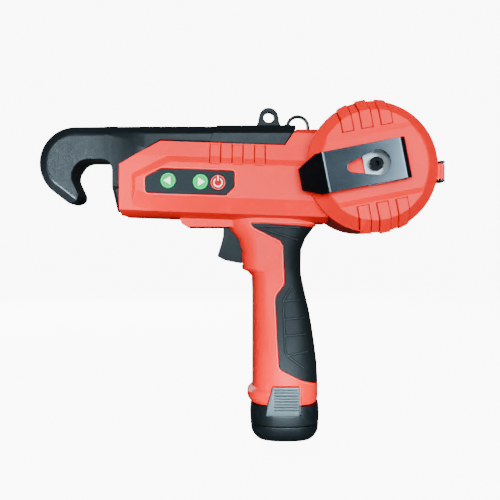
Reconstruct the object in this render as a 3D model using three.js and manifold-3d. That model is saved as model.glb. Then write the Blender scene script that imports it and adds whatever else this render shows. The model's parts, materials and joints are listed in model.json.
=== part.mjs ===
// Electric vine tying tool, at its real size in millimetres, with +Z up.
// The nose points to -X, the reel cover faces -Y, and the origin is the centre of the battery's flat foot.
import * as THREE from "three";
import { mergeVertices } from "three/addons/utils/BufferGeometryUtils.js";
import Module from "manifold-3d";

const wasm = await Module();
wasm.setup();

// Fits and walls
const gap = 0.3;
const seam = 0.15;
const overrun = 3;
const wall = 2.5;

// Barrel casing, with its heights given where its front diagonal ends
const barrelFrontX = -117;
const barrelKneeX = -88.5;
const barrelBackX = 30;
const barrelSlope = 0.036;
const barrelSideHalf = 24;
const faceProud = 3;
const rimStep = 3.7;
const floorStep = 9;
const barrelFaceHalf = barrelSideHalf + faceProud;
const barrelRimHalf = barrelSideHalf - rimStep;
const barrelFloorHalf = barrelSideHalf - floorStep;
const barrelFloorZ = 164.5;
const barrelBandLowZ = 168;
const barrelFaceLowZ = 178.8;
const barrelFaceHighZ = 202.4;
const barrelBandHighZ = 206.8;
const barrelRimZ = 218;
const barrelFrontTopZ = 201;
const faceFrontX = -105;
const faceKneeX = -80.5;
const faceFrontTopZ = 190.5;
const faceChamfer = 3;
const sidePadWidth = 7;
const sidePadPitch = 15.6;
const sidePadFirstX = -53;
const sidePadRise = 0.9;

// Shoulder behind the top cover, where the guide tube comes in
const shoulderFrontX = 8;
const shoulderFootX = -0.5;
const shoulderTopZ = 228.2;

// Top spine and nose
const spineTopZ = 230.4;
const spineTopHalf = 10;
const spineEdgeZ = 224;
const spineEdgeHalf = 18;
const spineSeamX = -52;
const spineSeamLean = 3.5;
const spineRidge = 0.7;
const noseHalf = 12;
const noseBevelDepth = 4;
const noseSolidEndX = -104;
const noseWidenStartX = -130;
const noseWidenEndX = -100;
const nosePlateX = -124;
const nosePlateFootX = -119.6;
const nosePlateFootZ = 168;
const nosePlateKneeZ = 186;

// Hook
const hookX = -152;
const hookZ = 204;
const hookOuterR = 26.4;
const hookTipX = -154.4;
const hookTipZ = 180.2;
const hookTipR = 6;
const mouthTopZ = 205.7;
const mouthFrontX = -153.3;
const mouthFrontR = 12;
const mouthBackR = 8;

// Battery cells, one in front of two, and the stem round them that slides into the handle
const batteryFootZ = 4.2;
const cellR = 9;
const cellSpace = 0.1;
const cellSkin = 0.9;
const cellBackSkin = 1.8;
const cellHoleGap = 0.2;
const cellSideY = cellR + cellSpace / 2;
const cellRowPitch = cellR * Math.sqrt(3) + cellSpace;
const stemX = -2.2;
const stemHalfX = cellR + (cellRowPitch + cellSkin + cellBackSkin) / 2;
const stemHalfY = cellSideY + cellR + cellSkin;
const cellFrontX = stemX - stemHalfX + cellSkin + cellR;
const cellRearX = cellFrontX + cellRowPitch;

// Handle, from the collar's foot to the barrel
const handleFootZ = 31;
const handleTopZ = 166;
const handleFrontWall = 3.3;
const handleBackWall = 7.6;
const handleSideWall = 3.5;
const handleFrontX = stemX - stemHalfX - handleFrontWall;
const handleBackX = stemX + stemHalfX + handleBackWall;
const handleHalf = stemHalfY + handleSideWall;
const handleSquareness = 2.8;
const rootFrontX = -77;
const rootFloorZ = 157.4;
const rootHalf = 13;
const gripSkin = 1.5;

// Reel drum, cover and spool
const reelFrontX = 14.5;
const reelZ = 198;
const drumR = 44.5;
const reelX = reelFrontX + drumR;
const drumProud = 1;
const drumFarY = barrelFaceHalf + drumProud;
const coverLip = 1;
const coverRimR = drumR + coverLip;
const coverRimDepth = 3.4;
const coverRimY = -barrelFaceHalf - coverRimDepth;
const coverBevel = 8.5;
const coverFaceR = coverRimR - coverBevel;
const coverDepth = 13;
const coverFaceY = -barrelFaceHalf - coverDepth;
const coverWall = 2.4;
const coverEdge = 1.3;
const coverTurn = THREE.MathUtils.degToRad(11);
const coverPadWidth = 7.2;
const coverPadPitch = 13.3;
const coverPadStart = 25.5;
const coverPadRise = 0.9;
const coverFieldLow = 20.8;
const coverFieldHigh = 24.3;
const coverFieldDepth = 1.1;
const coverBossR = 6;
const coverBossDepth = 6;
const axleR = 6;
const axleFlangeR = 12;
const axleFlangeThickness = 2;
const axleProud = 4;
const axleEndY = -barrelFaceHalf - axleProud;
const spoolRoom = 7.5;
const spoolR = drumR - spoolRoom;
const spoolHubR = 12;
const spoolSet = 2;
const spoolBehind = 8;
const spoolNearY = spoolSet - barrelFaceHalf;
const spoolFarY = drumFarY - spoolBehind;
const spoolFlange = 2;
const windingStep = 4;
const windingR = spoolR - windingStep;
const retainerR = 9.5;
const retainerThickness = 3.6;

// Cover hinge
const hingeReach = 2.6;
const hingeProud = 2;
const hingeDrop = 3.1;
const hingeX = reelX + coverRimR + hingeReach;
const hingeY = -barrelFaceHalf - hingeProud;
const hingeZ = reelZ - hingeDrop;
const hingePinR = 1;
const hingeBoreR = 1.3;
const knuckleR = 2.2;
const knuckleHalf = 5.2;
const hingeEar = 1.8;
const hingePinHalf = knuckleHalf + gap + hingeEar;
const hingeEarReach = 1.9;
const bracketPlateStep = 1.7;
const bracketPlateX = hingeX - bracketPlateStep;
const bracketDepth = 12;

// Belt clip
const clipHalf = 13.6;
const clipSheet = 1.5;
const clipProud = 10.5;
const clipOuterY = coverFaceY - clipProud;
const clipBendAt = 16;
const clipLeafEnd = -8;
const clipTipReach = 4.9;
const clipTipEnd = -coverRimR - clipTipReach;
const clipTipRun = 15.4;
const clipPlateEnd = clipTipEnd + clipTipRun;
const clipTipDrop = 16.5;
const clipTipY = clipOuterY + clipTipDrop;
const clipTipHalf = 6;
const clipKeyR = 8.3;
const clipSlotHalf = 3.5;
const clipSlotEnd = -20.6;
const clipScrewR = 2;
const clipScrewHeadR = 4.7;
const clipScrewHead = 3;
const clipSocketHalf = 1.8;

// Guide tube, gland and eyelet on top
const tubeX = 10;
const tubeRise = 1.6;
const tubeZ = spineTopZ + tubeRise;
const tubeArchR = 7.6;
const tubeR = 1.3;
const tubeBore = 0.8;
const glandR = 3.6;
const glandHeight = 2;
const eyeletX = -11.5;
const eyeletRise = 8.2;
const eyeletZ = spineTopZ + eyeletRise;
const eyeletR = 7.1;
const eyeletHoleR = 3.9;
const eyeletHalf = 3;
const eyeletFootHalf = 9.6;

// Control panel and buttons
const panelProud = 0.2;
const panelY = -barrelFaceHalf - panelProud;
const panelThickness = 1.7;
const panelLeftX = -97.6;
const panelRightX = -36.3;
const panelLowZ = 178.9;
const panelHighZ = 197.2;
const panelNick = 1;
const panelTaper = 1.8;
const panelBevel = 5.8;
const panelFrontLength = 11;
const buttonR = 5.3;
const buttonFlange = 0.45;
const buttonFlangeThickness = 0.8;
const buttonProud = 0.6;
const buttonStemR = 1.5;
const buttonTravel = 1.2;
const forwardX = -82;
const forwardZ = 188.9;
const reverseX = -59.6;
const reverseZ = 188;
const powerX = -47.4;
const powerZ = 187.5;
const boardThickness = 1.4;

// Trigger group
const triggerPivotX = -37;
const triggerPivotZ = 162.5;
const triggerHalf = 7.4;
const triggerTipX = -48.8;
const triggerBackX = -25.8;
const triggerFootZ = 131;
const triggerSlotFootZ = 130;
const triggerPinR = 1.5;
const triggerPinHalf = 10.5;
const triggerTravel = THREE.MathUtils.degToRad(10);
const triggerSpringR = 3.2;
const triggerSpringY = [3.3, triggerHalf - gap];
const switchFrontX = -19.6;
const switchLength = 15.6;
const switchHalf = 7;
const switchLowZ = 136;
const switchHighZ = 156;
const plungerZ = 146;
const plungerR = 2;
const plungerDepth = 4;

// Twisting and cutting group
const twistZ = 190;
const twistMotorR = 12;
const twistMotorBackX = -36;
const twistMotorLength = 41;
const twistGearboxLength = 23;
const twistShaftR = 2.5;
const twistHeadR = 6.5;
const twistHeadX = -106;
const twistForkSlot = 3;
const twistForkDepth = 8;
const twistPortR = 7.5;
const cutterThickness = 1.5;
const cutterHalf = 3;
const cutterLowZ = 201;
const cutterHeight = 9;
const cutterTravel = 3;

// Wire feed group
const wireZ = 212;
const wireR = 0.4;
const rollerX = -22;
const rollerR = 6.5;
const rollerHalf = 3.4;
const rollerShaftR = 1.5;
const guideTubeR = 1.5;
const guideTubeBore = 0.8;
const guideTubeBackX = -30;
const trackHalf = 2.5;
const trackThickness = 1.5;
const frameInnerHalf = 6.3;
const framePlate = 1.5;
const frameFrontX = -35;
const frameBackX = -12;
const frameLowZ = 196;
const frameHighZ = 224;
const armPivotX = -32;
const armCheek = 1.8;
const feedGearFrontX = -30;
const feedGearBackX = 3;
const feedGearSet = 5;
const feedGearFarY = barrelSideHalf - feedGearSet;
const feedGearLowZ = 176;
const feedMotorX = -4;
const feedMotorZ = 187;
const feedMotorR = 10.5;
const feedMotorSet = 8;
const feedMotorNearY = feedMotorSet - barrelSideHalf;
const mainBoardFrontX = -33;
const mainBoardBackX = 5;
const mainBoardLowZ = 169;
const mainBoardHighZ = 198;

// Battery: its foot is above the zero of the heights given here, and the whole tool is moved down to it
const batteryTopZ = 30.4;
const batteryLipX = 1.65;
const batteryLipY = 1.3;
const footStep = 7.3;
const batteryHalfX = (handleBackX - handleFrontX) / 2 + batteryLipX;
const batteryHalfY = handleHalf + batteryLipY;
const footHalfX = batteryHalfX - footStep;
const footHalfY = batteryHalfY - footStep;
const stemSquareness = 3.6;
const cellLength = 65;
const cellFloor = 3.6;
const cellCap = 2.9;
const cellFootZ = batteryFootZ + cellFloor;
const stemTopZ = cellFootZ + cellLength + cellCap;
const contactHalfX = 8;
const contactHalfY = 9;
const contactHeight = 3.6;
const terminalHalfX = 11;
const terminalHalfY = 12;
const terminalHeight = 8;
const latchTopZ = 44.6;
const latchFootZ = 24.4;
const latchBackX = 9.4;
const latchFootX = -14;
const latchProud = 0.7;
const latchOuterY = batteryHalfY + latchProud;
const latchThickness = 2;
const latchSlot = 1.5;
const latchTravel = 1.2;
const latchRibs = 4;
const latchRib = 1.2;
const latchRibRise = 0.7;

// Screws
const screwR = 1.4;
const screwHeadR = 2.8;
const screwHead = 2;
const screwBossR = 3.5;
const screwBite = 8;

// Facets
const fineSides = 48;
const midSides = 24;
const smallSides = 12;
const tinySides = 8;

const red = { color: 0xe8483a, roughness: 0.45, metalness: 0 };
const black = { color: 0x1b1d20, roughness: 0.55, metalness: 0 };
const slate = { color: 0x45545c, roughness: 0.5, metalness: 0 };
const rubber = { color: 0x17181a, roughness: 0.85, metalness: 0 };
const steel = { color: 0x9aa6b0, roughness: 0.3, metalness: 0.9 };
const brass = { color: 0xc9a14a, roughness: 0.35, metalness: 0.9 };
const green = { color: 0x22b35c, roughness: 0.4, metalness: 0 };
const powerRed = { color: 0xd0382c, roughness: 0.4, metalness: 0 };
const boardGreen = { color: 0x1d6b43, roughness: 0.6, metalness: 0 };
const cellBlue = { color: 0x2f6fb5, roughness: 0.4, metalness: 0 };
const wireGreen = { color: 0x5c8f4e, roughness: 0.5, metalness: 0.2 };

// A closed geometry as a solid that can be joined and cut
function solidOf(geometry) {
  const bare = geometry.clone();
  bare.deleteAttribute("normal");
  bare.deleteAttribute("uv");
  const merged = mergeVertices(bare, 1e-4);
  const triVerts = new Uint32Array(merged.index.array);
  const vertProperties = new Float32Array(merged.attributes.position.array);
  const build = () => new wasm.Manifold(new wasm.Mesh({ numProp: 3, vertProperties, triVerts }));
  const solid = build();
  if (solid.volume() > 0) return solid;
  for (let i = 0; i < triVerts.length; i += 3) {
    [triVerts[i], triVerts[i + 1]] = [triVerts[i + 1], triVerts[i]];
  }
  return build();
}

// A solid's surface as a geometry
function geometryOf(solid) {
  const mesh = solid.getMesh();
  const positions = new Float32Array(mesh.numVert * 3);
  for (let i = 0; i < mesh.numVert; i++) {
    positions.set(mesh.vertProperties.subarray(i * mesh.numProp, i * mesh.numProp + 3), i * 3);
  }
  const geometry = new THREE.BufferGeometry();
  geometry.setAttribute("position", new THREE.BufferAttribute(positions, 3));
  geometry.setIndex(new THREE.BufferAttribute(new Uint32Array(mesh.triVerts), 1));
  return geometry;
}

function moved(solid, matrix) {
  return solidOf(geometryOf(solid).applyMatrix4(matrix));
}

function joined(...solids) {
  return solids.reduce((sum, next) => sum.add(next));
}

function cut(solid, ...tools) {
  return tools.reduce((rest, tool) => rest.subtract(tool), solid);
}

// A closed skin over rings of points, each with as many points as the others
function skinned(rings) {
  const count = rings[0].length;
  const positions = [];
  const index = [];
  rings.forEach((ring) => ring.forEach((p) => positions.push(p[0], p[1], p[2])));
  for (let r = 0; r + 1 < rings.length; r++) {
    for (let i = 0; i < count; i++) {
      const j = (i + 1) % count;
      const [a, b] = [r * count + i, r * count + j];
      index.push(a, b, b + count, a, b + count, a + count);
    }
  }
  const cap = (ring, base, flip) => {
    const centre = ring.reduce((s, p) => [s[0] + p[0], s[1] + p[1], s[2] + p[2]], [0, 0, 0]);
    const hub = positions.length / 3;
    positions.push(centre[0] / count, centre[1] / count, centre[2] / count);
    for (let i = 0; i < count; i++) {
      const [a, b] = [base + i, base + ((i + 1) % count)];
      index.push(hub, flip ? b : a, flip ? a : b);
    }
  };
  cap(rings[0], 0, true);
  cap(rings[rings.length - 1], (rings.length - 1) * count, false);
  const geometry = new THREE.BufferGeometry();
  geometry.setAttribute("position", new THREE.Float32BufferAttribute(positions, 3));
  geometry.setIndex(index);
  return solidOf(geometry);
}

function extruded(points, depth) {
  const shape = new THREE.Shape(points.map(([a, b]) => new THREE.Vector2(a, b)));
  return new THREE.ExtrudeGeometry(shape, { depth, bevelEnabled: false, steps: 1 });
}

// Slabs over an outline: in X and Z along Y, in X and Y along Z, and in Y and Z along X
function slabY(points, lowY, highY) {
  const geometry = extruded(points, highY - lowY);
  geometry.rotateX(Math.PI / 2);
  geometry.translate(0, highY, 0);
  return solidOf(geometry);
}

function slabZ(points, lowZ, highZ) {
  return solidOf(extruded(points, highZ - lowZ).translate(0, 0, lowZ));
}

function slabX(points, lowX, highX) {
  const geometry = extruded(points, highX - lowX);
  const turn = new THREE.Matrix4().makeBasis(
    new THREE.Vector3(0, 1, 0),
    new THREE.Vector3(0, 0, 1),
    new THREE.Vector3(1, 0, 0),
  );
  geometry.applyMatrix4(turn);
  geometry.translate(lowX, 0, 0);
  return solidOf(geometry);
}

function box(x, y, z) {
  const geometry = new THREE.BoxGeometry(x[1] - x[0], y[1] - y[0], z[1] - z[0]);
  geometry.translate((x[0] + x[1]) / 2, (y[0] + y[1]) / 2, (z[0] + z[1]) / 2);
  return solidOf(geometry);
}

// Round rods along each axis, from one end to the other
function rodX(radius, from, to, y, z, count = midSides) {
  const geometry = new THREE.CylinderGeometry(radius, radius, to - from, count);
  geometry.rotateZ(Math.PI / 2);
  return solidOf(geometry.translate((from + to) / 2, y, z));
}

function rodY(radius, from, to, x, z, count = midSides) {
  const geometry = new THREE.CylinderGeometry(radius, radius, to - from, count);
  return solidOf(geometry.translate(x, (from + to) / 2, z));
}

function rodZ(radius, from, to, x, y, count = midSides) {
  const geometry = new THREE.CylinderGeometry(radius, radius, to - from, count);
  geometry.rotateX(Math.PI / 2);
  return solidOf(geometry.translate(x, y, (from + to) / 2));
}

// Points on an arc, from one angle in degrees to another
function arc(x, z, radius, fromDegrees, toDegrees, steps) {
  return Array.from({ length: steps + 1 }, (_, i) => {
    const angle = THREE.MathUtils.degToRad(fromDegrees + ((toDegrees - fromDegrees) * i) / steps);
    return [x + radius * Math.cos(angle), z + radius * Math.sin(angle)];
  });
}

// A convex outline moved out by a distance on every side
function grown(points, distance) {
  const area = points.reduce((sum, [x, z], i) => {
    const [nx, nz] = points[(i + 1) % points.length];
    return sum + x * nz - nx * z;
  }, 0);
  const sign = Math.sign(area);
  const normal = (a, b) => {
    const length = Math.hypot(b[0] - a[0], b[1] - a[1]);
    return [(sign * (b[1] - a[1])) / length, (sign * (a[0] - b[0])) / length];
  };
  return points.map((p, i) => {
    const before = normal(points[(i + points.length - 1) % points.length], p);
    const after = normal(p, points[(i + 1) % points.length]);
    const share = 1 + before[0] * after[0] + before[1] * after[1];
    return [
      p[0] + (distance * (before[0] + after[0])) / share,
      p[1] + (distance * (before[1] + after[1])) / share,
    ];
  });
}

// A ring of points on a rounded box, level in Z
function roundedRing(lowX, highX, halfY, z, squareness, count) {
  const half = (highX - lowX) / 2;
  const power = 2 / squareness;
  return Array.from({ length: count }, (_, i) => {
    const angle = (2 * Math.PI * i) / count;
    const [c, s] = [Math.cos(angle), Math.sin(angle)];
    const x = lowX + half + half * Math.sign(c) * Math.abs(c) ** power;
    return [x, halfY * Math.sign(s) * Math.abs(s) ** power, z];
  });
}

// A mesh of one solid, named and coloured
function piece(name, solid, look) {
  const geometry = geometryOf(solid).toNonIndexed();
  geometry.computeVertexNormals();
  const mesh = new THREE.Mesh(geometry, new THREE.MeshStandardMaterial({ ...look }));
  mesh.name = name;
  return mesh;
}

// Barrel heights fall towards the back by the barrel's slope
const fall = (x) => -barrelSlope * (x - barrelKneeX);
const fallen = (points) => points.map(([x, z]) => [x, z + fall(x)]);
const fallMatrix = new THREE.Matrix4().set(
  1, 0, 0, 0, 0, 1, 0, 0, -barrelSlope, 0, 1, barrelSlope * barrelKneeX, 0, 0, 0, 1,
);

function barrelSection(inset, topZ) {
  const half = [
    [barrelFloorHalf - inset, barrelFloorZ + inset],
    [barrelSideHalf - inset, barrelBandLowZ],
    [barrelSideHalf - inset, barrelBandHighZ],
    [barrelRimHalf - inset, topZ],
  ];
  return [...half, ...half.map(([y, z]) => [-y, z]).reverse()];
}

// The line where the red casing ends and the black spine begins
function rimLine(lift) {
  return [
    [barrelFrontX, barrelFrontTopZ + lift],
    [barrelKneeX, barrelRimZ + lift],
    [shoulderFootX - lift, barrelRimZ + fall(shoulderFootX) + lift],
    [shoulderFrontX - lift, shoulderTopZ - seam],
  ];
}

function facePlate(side) {
  const outer = fallen([
    [faceFrontX - faceChamfer, barrelBandLowZ + faceChamfer],
    [faceFrontX - faceChamfer, faceFrontTopZ + faceChamfer],
    [faceKneeX - faceChamfer, barrelBandHighZ],
    [barrelBackX - gap, barrelBandHighZ],
    [barrelBackX - gap, barrelBandLowZ],
    [barrelKneeX, barrelBandLowZ],
  ]);
  const inner = fallen([
    [faceFrontX, barrelFaceLowZ + faceChamfer],
    [faceFrontX, faceFrontTopZ],
    [faceKneeX, barrelFaceHighZ],
    [barrelBackX - gap, barrelFaceHighZ],
    [barrelBackX - gap, barrelFaceLowZ],
    [barrelKneeX, barrelFaceLowZ],
  ]);
  const ring = (points, y) => points.map(([x, z]) => [x, side * y, z]);
  return skinned([
    ring(outer, barrelSideHalf - wall / 2),
    ring(outer, barrelSideHalf),
    ring(inner, barrelFaceHalf),
  ]);
}

function sidePads(side) {
  const profile = [
    [barrelRimHalf - wall, barrelRimZ - sidePadRise],
    [barrelRimHalf + sidePadRise * 2, barrelRimZ - sidePadRise * 2],
    [barrelSideHalf + sidePadRise, barrelBandHighZ + sidePadRise],
    [barrelFaceHalf + sidePadRise, barrelFaceHighZ],
    [barrelFaceHalf - sidePadRise, barrelFaceHighZ - sidePadRise * 2],
    [barrelRimHalf - wall, barrelFaceHighZ - sidePadRise * 2],
  ];
  return [0, 1, 2].map((n) => {
    const x = sidePadFirstX + n * sidePadPitch;
    const points = profile.map(([y, z]) => [side * y, z]);
    return moved(slabX(points, x, x + sidePadWidth), fallMatrix);
  });
}

// The casing of the barrel, with the shoulder behind the top cover and the root in front of the handle
function barrelBody() {
  const block = moved(
    slabX(barrelSection(0, barrelRimZ), barrelFrontX, barrelBackX),
    fallMatrix,
  );
  const keep = slabY(
    [
      ...rimLine(0),
      [barrelBackX + overrun, shoulderTopZ],
      [barrelBackX + overrun, rootFloorZ - overrun],
      [barrelFrontX, rootFloorZ - overrun],
    ],
    -barrelFaceHalf,
    barrelFaceHalf,
  );
  const shoulder = slabX(
    spineSection(0, barrelBandHighZ, shoulderTopZ),
    shoulderFootX,
    barrelBackX - wall,
  );
  const root = slabY(
    [
      [rootFrontX, barrelBandLowZ],
      [rootFrontX + wall, rootFloorZ + wall],
      [rootFrontX + wall * 2.6, rootFloorZ],
      [triggerBackX, rootFloorZ],
      [triggerBackX, barrelBandLowZ],
    ],
    -rootHalf,
    rootHalf,
  );
  return joined(
    joined(block, shoulder).intersect(keep),
    facePlate(1),
    facePlate(-1),
    ...sidePads(1),
    ...sidePads(-1),
    root,
  );
}

// The spine's section: a flat top, two bevels and two upright sides
function spineSection(inset, lowZ, topZ, spread = 1) {
  const side = noseHalf + (barrelRimHalf - noseHalf) * spread - inset;
  const edge = noseHalf + (spineEdgeHalf - noseHalf) * spread - inset;
  const top = noseHalf - noseBevelDepth + (spineTopHalf - noseHalf + noseBevelDepth) * spread - inset / 2;
  const shoulderZ = barrelRimZ - noseBevelDepth;
  const half = [
    [side, lowZ],
    [side, Math.max(lowZ, shoulderZ)],
    [edge, spineEdgeZ - inset],
    [top, topZ - inset],
  ];
  const points = lowZ < shoulderZ ? half : half.slice(1);
  return [...points, ...points.map(([y, z]) => [-y, z]).reverse()];
}

// Handle outline: each row holds a height, a front, a back and a half-width, as shares
const handleShares = [
  [0, 1.02, 0.98, 0.97],
  [0.013, 1.1, 1.02, 1.02],
  [0.032, 1.155, 1.03, 1.05],
  [0.058, 1.15, 1.03, 1.05],
  [0.077, 1.04, 1.03, 1.02],
  [0.085, 1.0, 1.03, 1.0],
  [0.118, 1.0, 1.03, 1.0],
  [0.215, 1.0, 1.0, 1.0],
  [0.341, 1.0, 0.907, 0.985],
  [0.43, 1.0, 0.83, 0.95],
  [0.504, 1.0, 0.75, 0.92],
  [0.593, 1.0, 0.627, 0.89],
  [0.674, 1.02, 0.53, 0.87],
  [0.696, 1.13, 0.52, 0.865],
  [0.711, 1.31, 0.517, 0.86],
  [0.748, 1.33, 0.517, 0.86],
  [0.815, 1.35, 0.53, 0.86],
  [0.874, 1.46, 0.657, 0.86],
  [0.933, 1.76, 0.907, 0.86],
  [0.978, 1.8, 1.15, 0.86],
  [1.0, 1.8, 1.2, 0.86],
];

function handleBody(inset, lowShare = 0, highShare = 1) {
  const height = handleTopZ - handleFootZ;
  const rows = handleShares.filter(([share]) => share >= lowShare && share <= highShare);
  return skinned(
    rows.map(([up, front, back, half]) =>
      roundedRing(
        handleFrontX * front + inset,
        handleBackX * back - inset,
        handleHalf * half - inset,
        handleFootZ + up * height,
        handleSquareness,
        midSides + smallSides / 3,
      ),
    ),
  );
}

// Edge of the rubber overmould, as shares of the handle's depth to the back and of its height
const gripEdgeShares = [
  [-1.04, 0.956],
  [-0.98, 0.934],
  [-0.165, 0.863],
  [-0.06, 0.834],
  [-0.015, 0.64],
  [-0.03, 0.629],
  [-0.254, 0.581],
  [-0.3, 0.555],
  [-0.284, 0.497],
  [-0.254, 0.365],
  [-0.195, 0.202],
  [-0.178, 0.192],
  [0.44, 0.136],
  [0.937, 0.11],
  [1.3, 0.1],
  [1.3, 0.93],
];

function gripRegion(margin) {
  const height = handleTopZ - handleFootZ;
  const edge = gripEdgeShares.map(([x, z]) => [handleBackX * x, handleFootZ + z * height]);
  const region = slabY(edge, -handleHalf * 2, handleHalf * 2);
  if (!margin) return region;
  const shifts = [[margin, 0], [-margin, 0], [0, margin], [0, -margin]];
  return joined(
    region,
    ...shifts.map(([x, z]) => moved(region, new THREE.Matrix4().makeTranslation(x, 0, z))),
  );
}

function handleShell() {
  const core = handleBody(gripSkin + gap);
  return joined(core, cut(handleBody(0), gripRegion(gap)));
}

function gripOvermould() {
  const floor = slabY(
    [
      [handleFrontX * 3, barrelBandLowZ * 2],
      [handleFrontX * 3, barrelFloorZ - wall + fall(handleFrontX * 3)],
      [handleBackX * 2, barrelFloorZ - wall + fall(handleBackX * 2)],
      [handleBackX * 2, barrelBandLowZ * 2],
    ],
    -handleHalf * 2,
    handleHalf * 2,
  );
  return cut(handleBody(0), handleBody(gripSkin), floor).intersect(gripRegion(0));
}

// Casing screws: X, Z and the barrel or handle half-width that they go through
const handleWaistHalf = handleHalf * 0.86;
const handleMiddleHalf = handleHalf * 0.9;
const handleMiddleZ = (handleFootZ + handleTopZ) / 2 + wall;
const casingScrews = [
  [faceFrontX - wall, barrelBandLowZ + screwBossR + wall, barrelSideHalf],
  [(panelLeftX + panelRightX) / 2 + wall, barrelBandLowZ + screwBossR, barrelSideHalf],
  [feedGearBackX + screwBossR * 2, barrelBandLowZ + screwBossR / 2, barrelSideHalf],
  [handleFrontX + wall + screwBossR * 3, handleMiddleZ, handleMiddleHalf],
  [switchFrontX + switchLength - screwBossR, switchLowZ - screwBossR * 2, handleWaistHalf],
];
const noseScrews = [
  [hookX - (hookOuterR + screwBossR * 2) / 2, hookZ, noseHalf],
  [noseSolidEndX - screwHeadR * 2, wireZ + guideTubeR + screwBossR * 2, noseHalf + wall],
];

function screwHeadY(half) {
  return half - wall * 2;
}

function screw(x, z, half) {
  const under = screwHeadY(half);
  return joined(
    rodY(screwHeadR, under, under + screwHead, x, z, smallSides),
    rodY(screwR, -screwBite, under + seam, x, z, tinySides),
  );
}

function screwHole(x, z, half) {
  const under = screwHeadY(half) - gap;
  return joined(
    rodY(screwR + gap, -screwBite - gap, under + seam, x, z, smallSides),
    rodY(screwHeadR + gap, under, half + overrun * 2, x, z, smallSides),
  );
}

function screwBoss(x, z, half) {
  return rodY(screwBossR, -half + wall / 2, half - wall / 2, x, z, smallSides);
}

// Socket in the handle that the battery's stem slides into
function stemOutline(clearance) {
  return roundedRing(
    stemX - stemHalfX - clearance,
    stemX + stemHalfX + clearance,
    stemHalfY + clearance,
    0,
    stemSquareness,
    midSides + smallSides / 3,
  ).map(([x, y]) => [x, y]);
}

const socketTopZ = stemTopZ + contactHeight + gap * 2;
const terminalTopZ = socketTopZ + terminalHeight;
const handleRoomZ = terminalTopZ + wall;

function handleRooms() {
  const room = handleBody(gripSkin + gap + wall);
  const roomBox = box(
    [handleFrontX * 3, handleBackX * 2],
    [-handleHalf * 2, handleHalf * 2],
    [handleRoomZ, handleTopZ],
  );
  const socket = slabZ(stemOutline(gap), handleFootZ - overrun, stemTopZ + gap);
  const pocket = box(
    [stemX - terminalHalfX - gap, stemX + terminalHalfX + gap],
    [-terminalHalfY - gap, terminalHalfY + gap],
    [stemTopZ - overrun, terminalTopZ + gap],
  );
  return [room.intersect(roomBox), socket, pocket];
}

// Notch in the collar for a battery latch, open towards the foot
function latchOutline(clearance) {
  const mid = (latchTopZ + latchFootZ) / 2 - wall;
  return grown(
    [
      [latchFootX + (latchBackX - latchFootX) * 0.2, latchTopZ],
      [latchBackX, latchTopZ],
      [latchBackX, latchFootZ],
      [latchFootX, latchFootZ],
      [latchFootX + wall / 2, mid],
    ],
    clearance,
  );
}

function latchSpan(side) {
  const outer = side * (latchOuterY + overrun);
  const inner = side * (latchOuterY - latchThickness - latchTravel - gap * 2);
  return [Math.min(inner, outer), Math.max(inner, outer)];
}

// Room for a latch, with an open slot behind it
function latchPocket(side) {
  return joined(
    slabY(latchOutline(gap), ...latchSpan(side)),
    box([latchBackX, latchBackX + latchSlot], latchSpan(side), [latchFootZ, latchTopZ + gap]),
  );
}

function latchRoom(side) {
  const way = box(
    [latchFootX - gap, latchBackX + latchSlot],
    latchSpan(side),
    [latchFootZ - overrun, batteryTopZ + gap * 2],
  );
  return joined(latchPocket(side), way);
}

function triggerSlot() {
  const front = triggerTipX - overrun;
  return joined(
    box(
      [front, triggerBackX + gap],
      [-triggerHalf - gap, triggerHalf + gap],
      [triggerSlotFootZ, rootFloorZ + wall],
    ),
    box(
      [triggerPivotX - screwBossR * 2.2, triggerBackX + gap],
      [-triggerHalf - gap, triggerHalf + gap],
      [rootFloorZ - overrun, triggerPivotZ + screwBossR * 1.3],
    ),
  );
}

function triggerPinHole() {
  const reach = triggerPinHalf + gap;
  return rodY(triggerPinR + gap, -reach, reach, triggerPivotX, triggerPivotZ, smallSides);
}

// Both halves of the casing as one, before the cut down the middle
function casing() {
  const body = joined(
    barrelBody(),
    handleShell(),
    rodY(drumR, -barrelFaceHalf, drumFarY, reelX, reelZ, fineSides),
  );
  const barrelRoom = moved(
    slabX(
      barrelSection(wall, barrelRimZ + overrun),
      barrelFrontX + wall,
      reelX - drumR - wall,
    ),
    fallMatrix,
  );
  const spineRoom = slabX(
    spineSection(wall, barrelBandHighZ, shoulderTopZ - wall / 2),
    barrelKneeX,
    reelX - drumR - wall,
  );
  const roomLimit = slabY(
    [
      [barrelFrontX, barrelFrontTopZ - wall],
      [barrelKneeX, barrelRimZ + overrun],
      [reelX - drumR - wall, barrelRimZ + overrun],
      [reelX - drumR - wall, rootFloorZ],
      [barrelFrontX, rootFloorZ],
    ],
    -barrelFaceHalf,
    barrelFaceHalf,
  );
  const reelInnerR = drumR - wall;
  const reelRoom = rodY(reelInnerR, -barrelFaceHalf - overrun, drumFarY - wall, reelX, reelZ, fineSides);
  const hollow = cut(
    body,
    joined(barrelRoom, spineRoom).intersect(roomLimit),
    reelRoom,
    ...handleRooms(),
  );
  const screws = casingScrews;
  const bosses = screws.map(([x, z, half]) => screwBoss(x, z, half).intersect(body));
  const filled = joined(hollow, ...bosses, ...motorSaddles(), ...switchRests(), gearRest());
  return cut(
    filled,
    ...screws.map(([x, z, half]) => screwHole(x, z, half)),
    triggerSlot(),
    triggerPinHole(),
    rodX(twistPortR, barrelFrontX - overrun, barrelFrontX + wall + overrun, 0, twistZ),
    rodZ(tubeR + gap * 2, reelZ, shoulderTopZ + overrun, tubeX + tubeArchR, 0, smallSides),
    latchRoom(1),
    latchRoom(-1),
    panelRecess(),
    cutterRoom(),
  );
}

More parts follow.
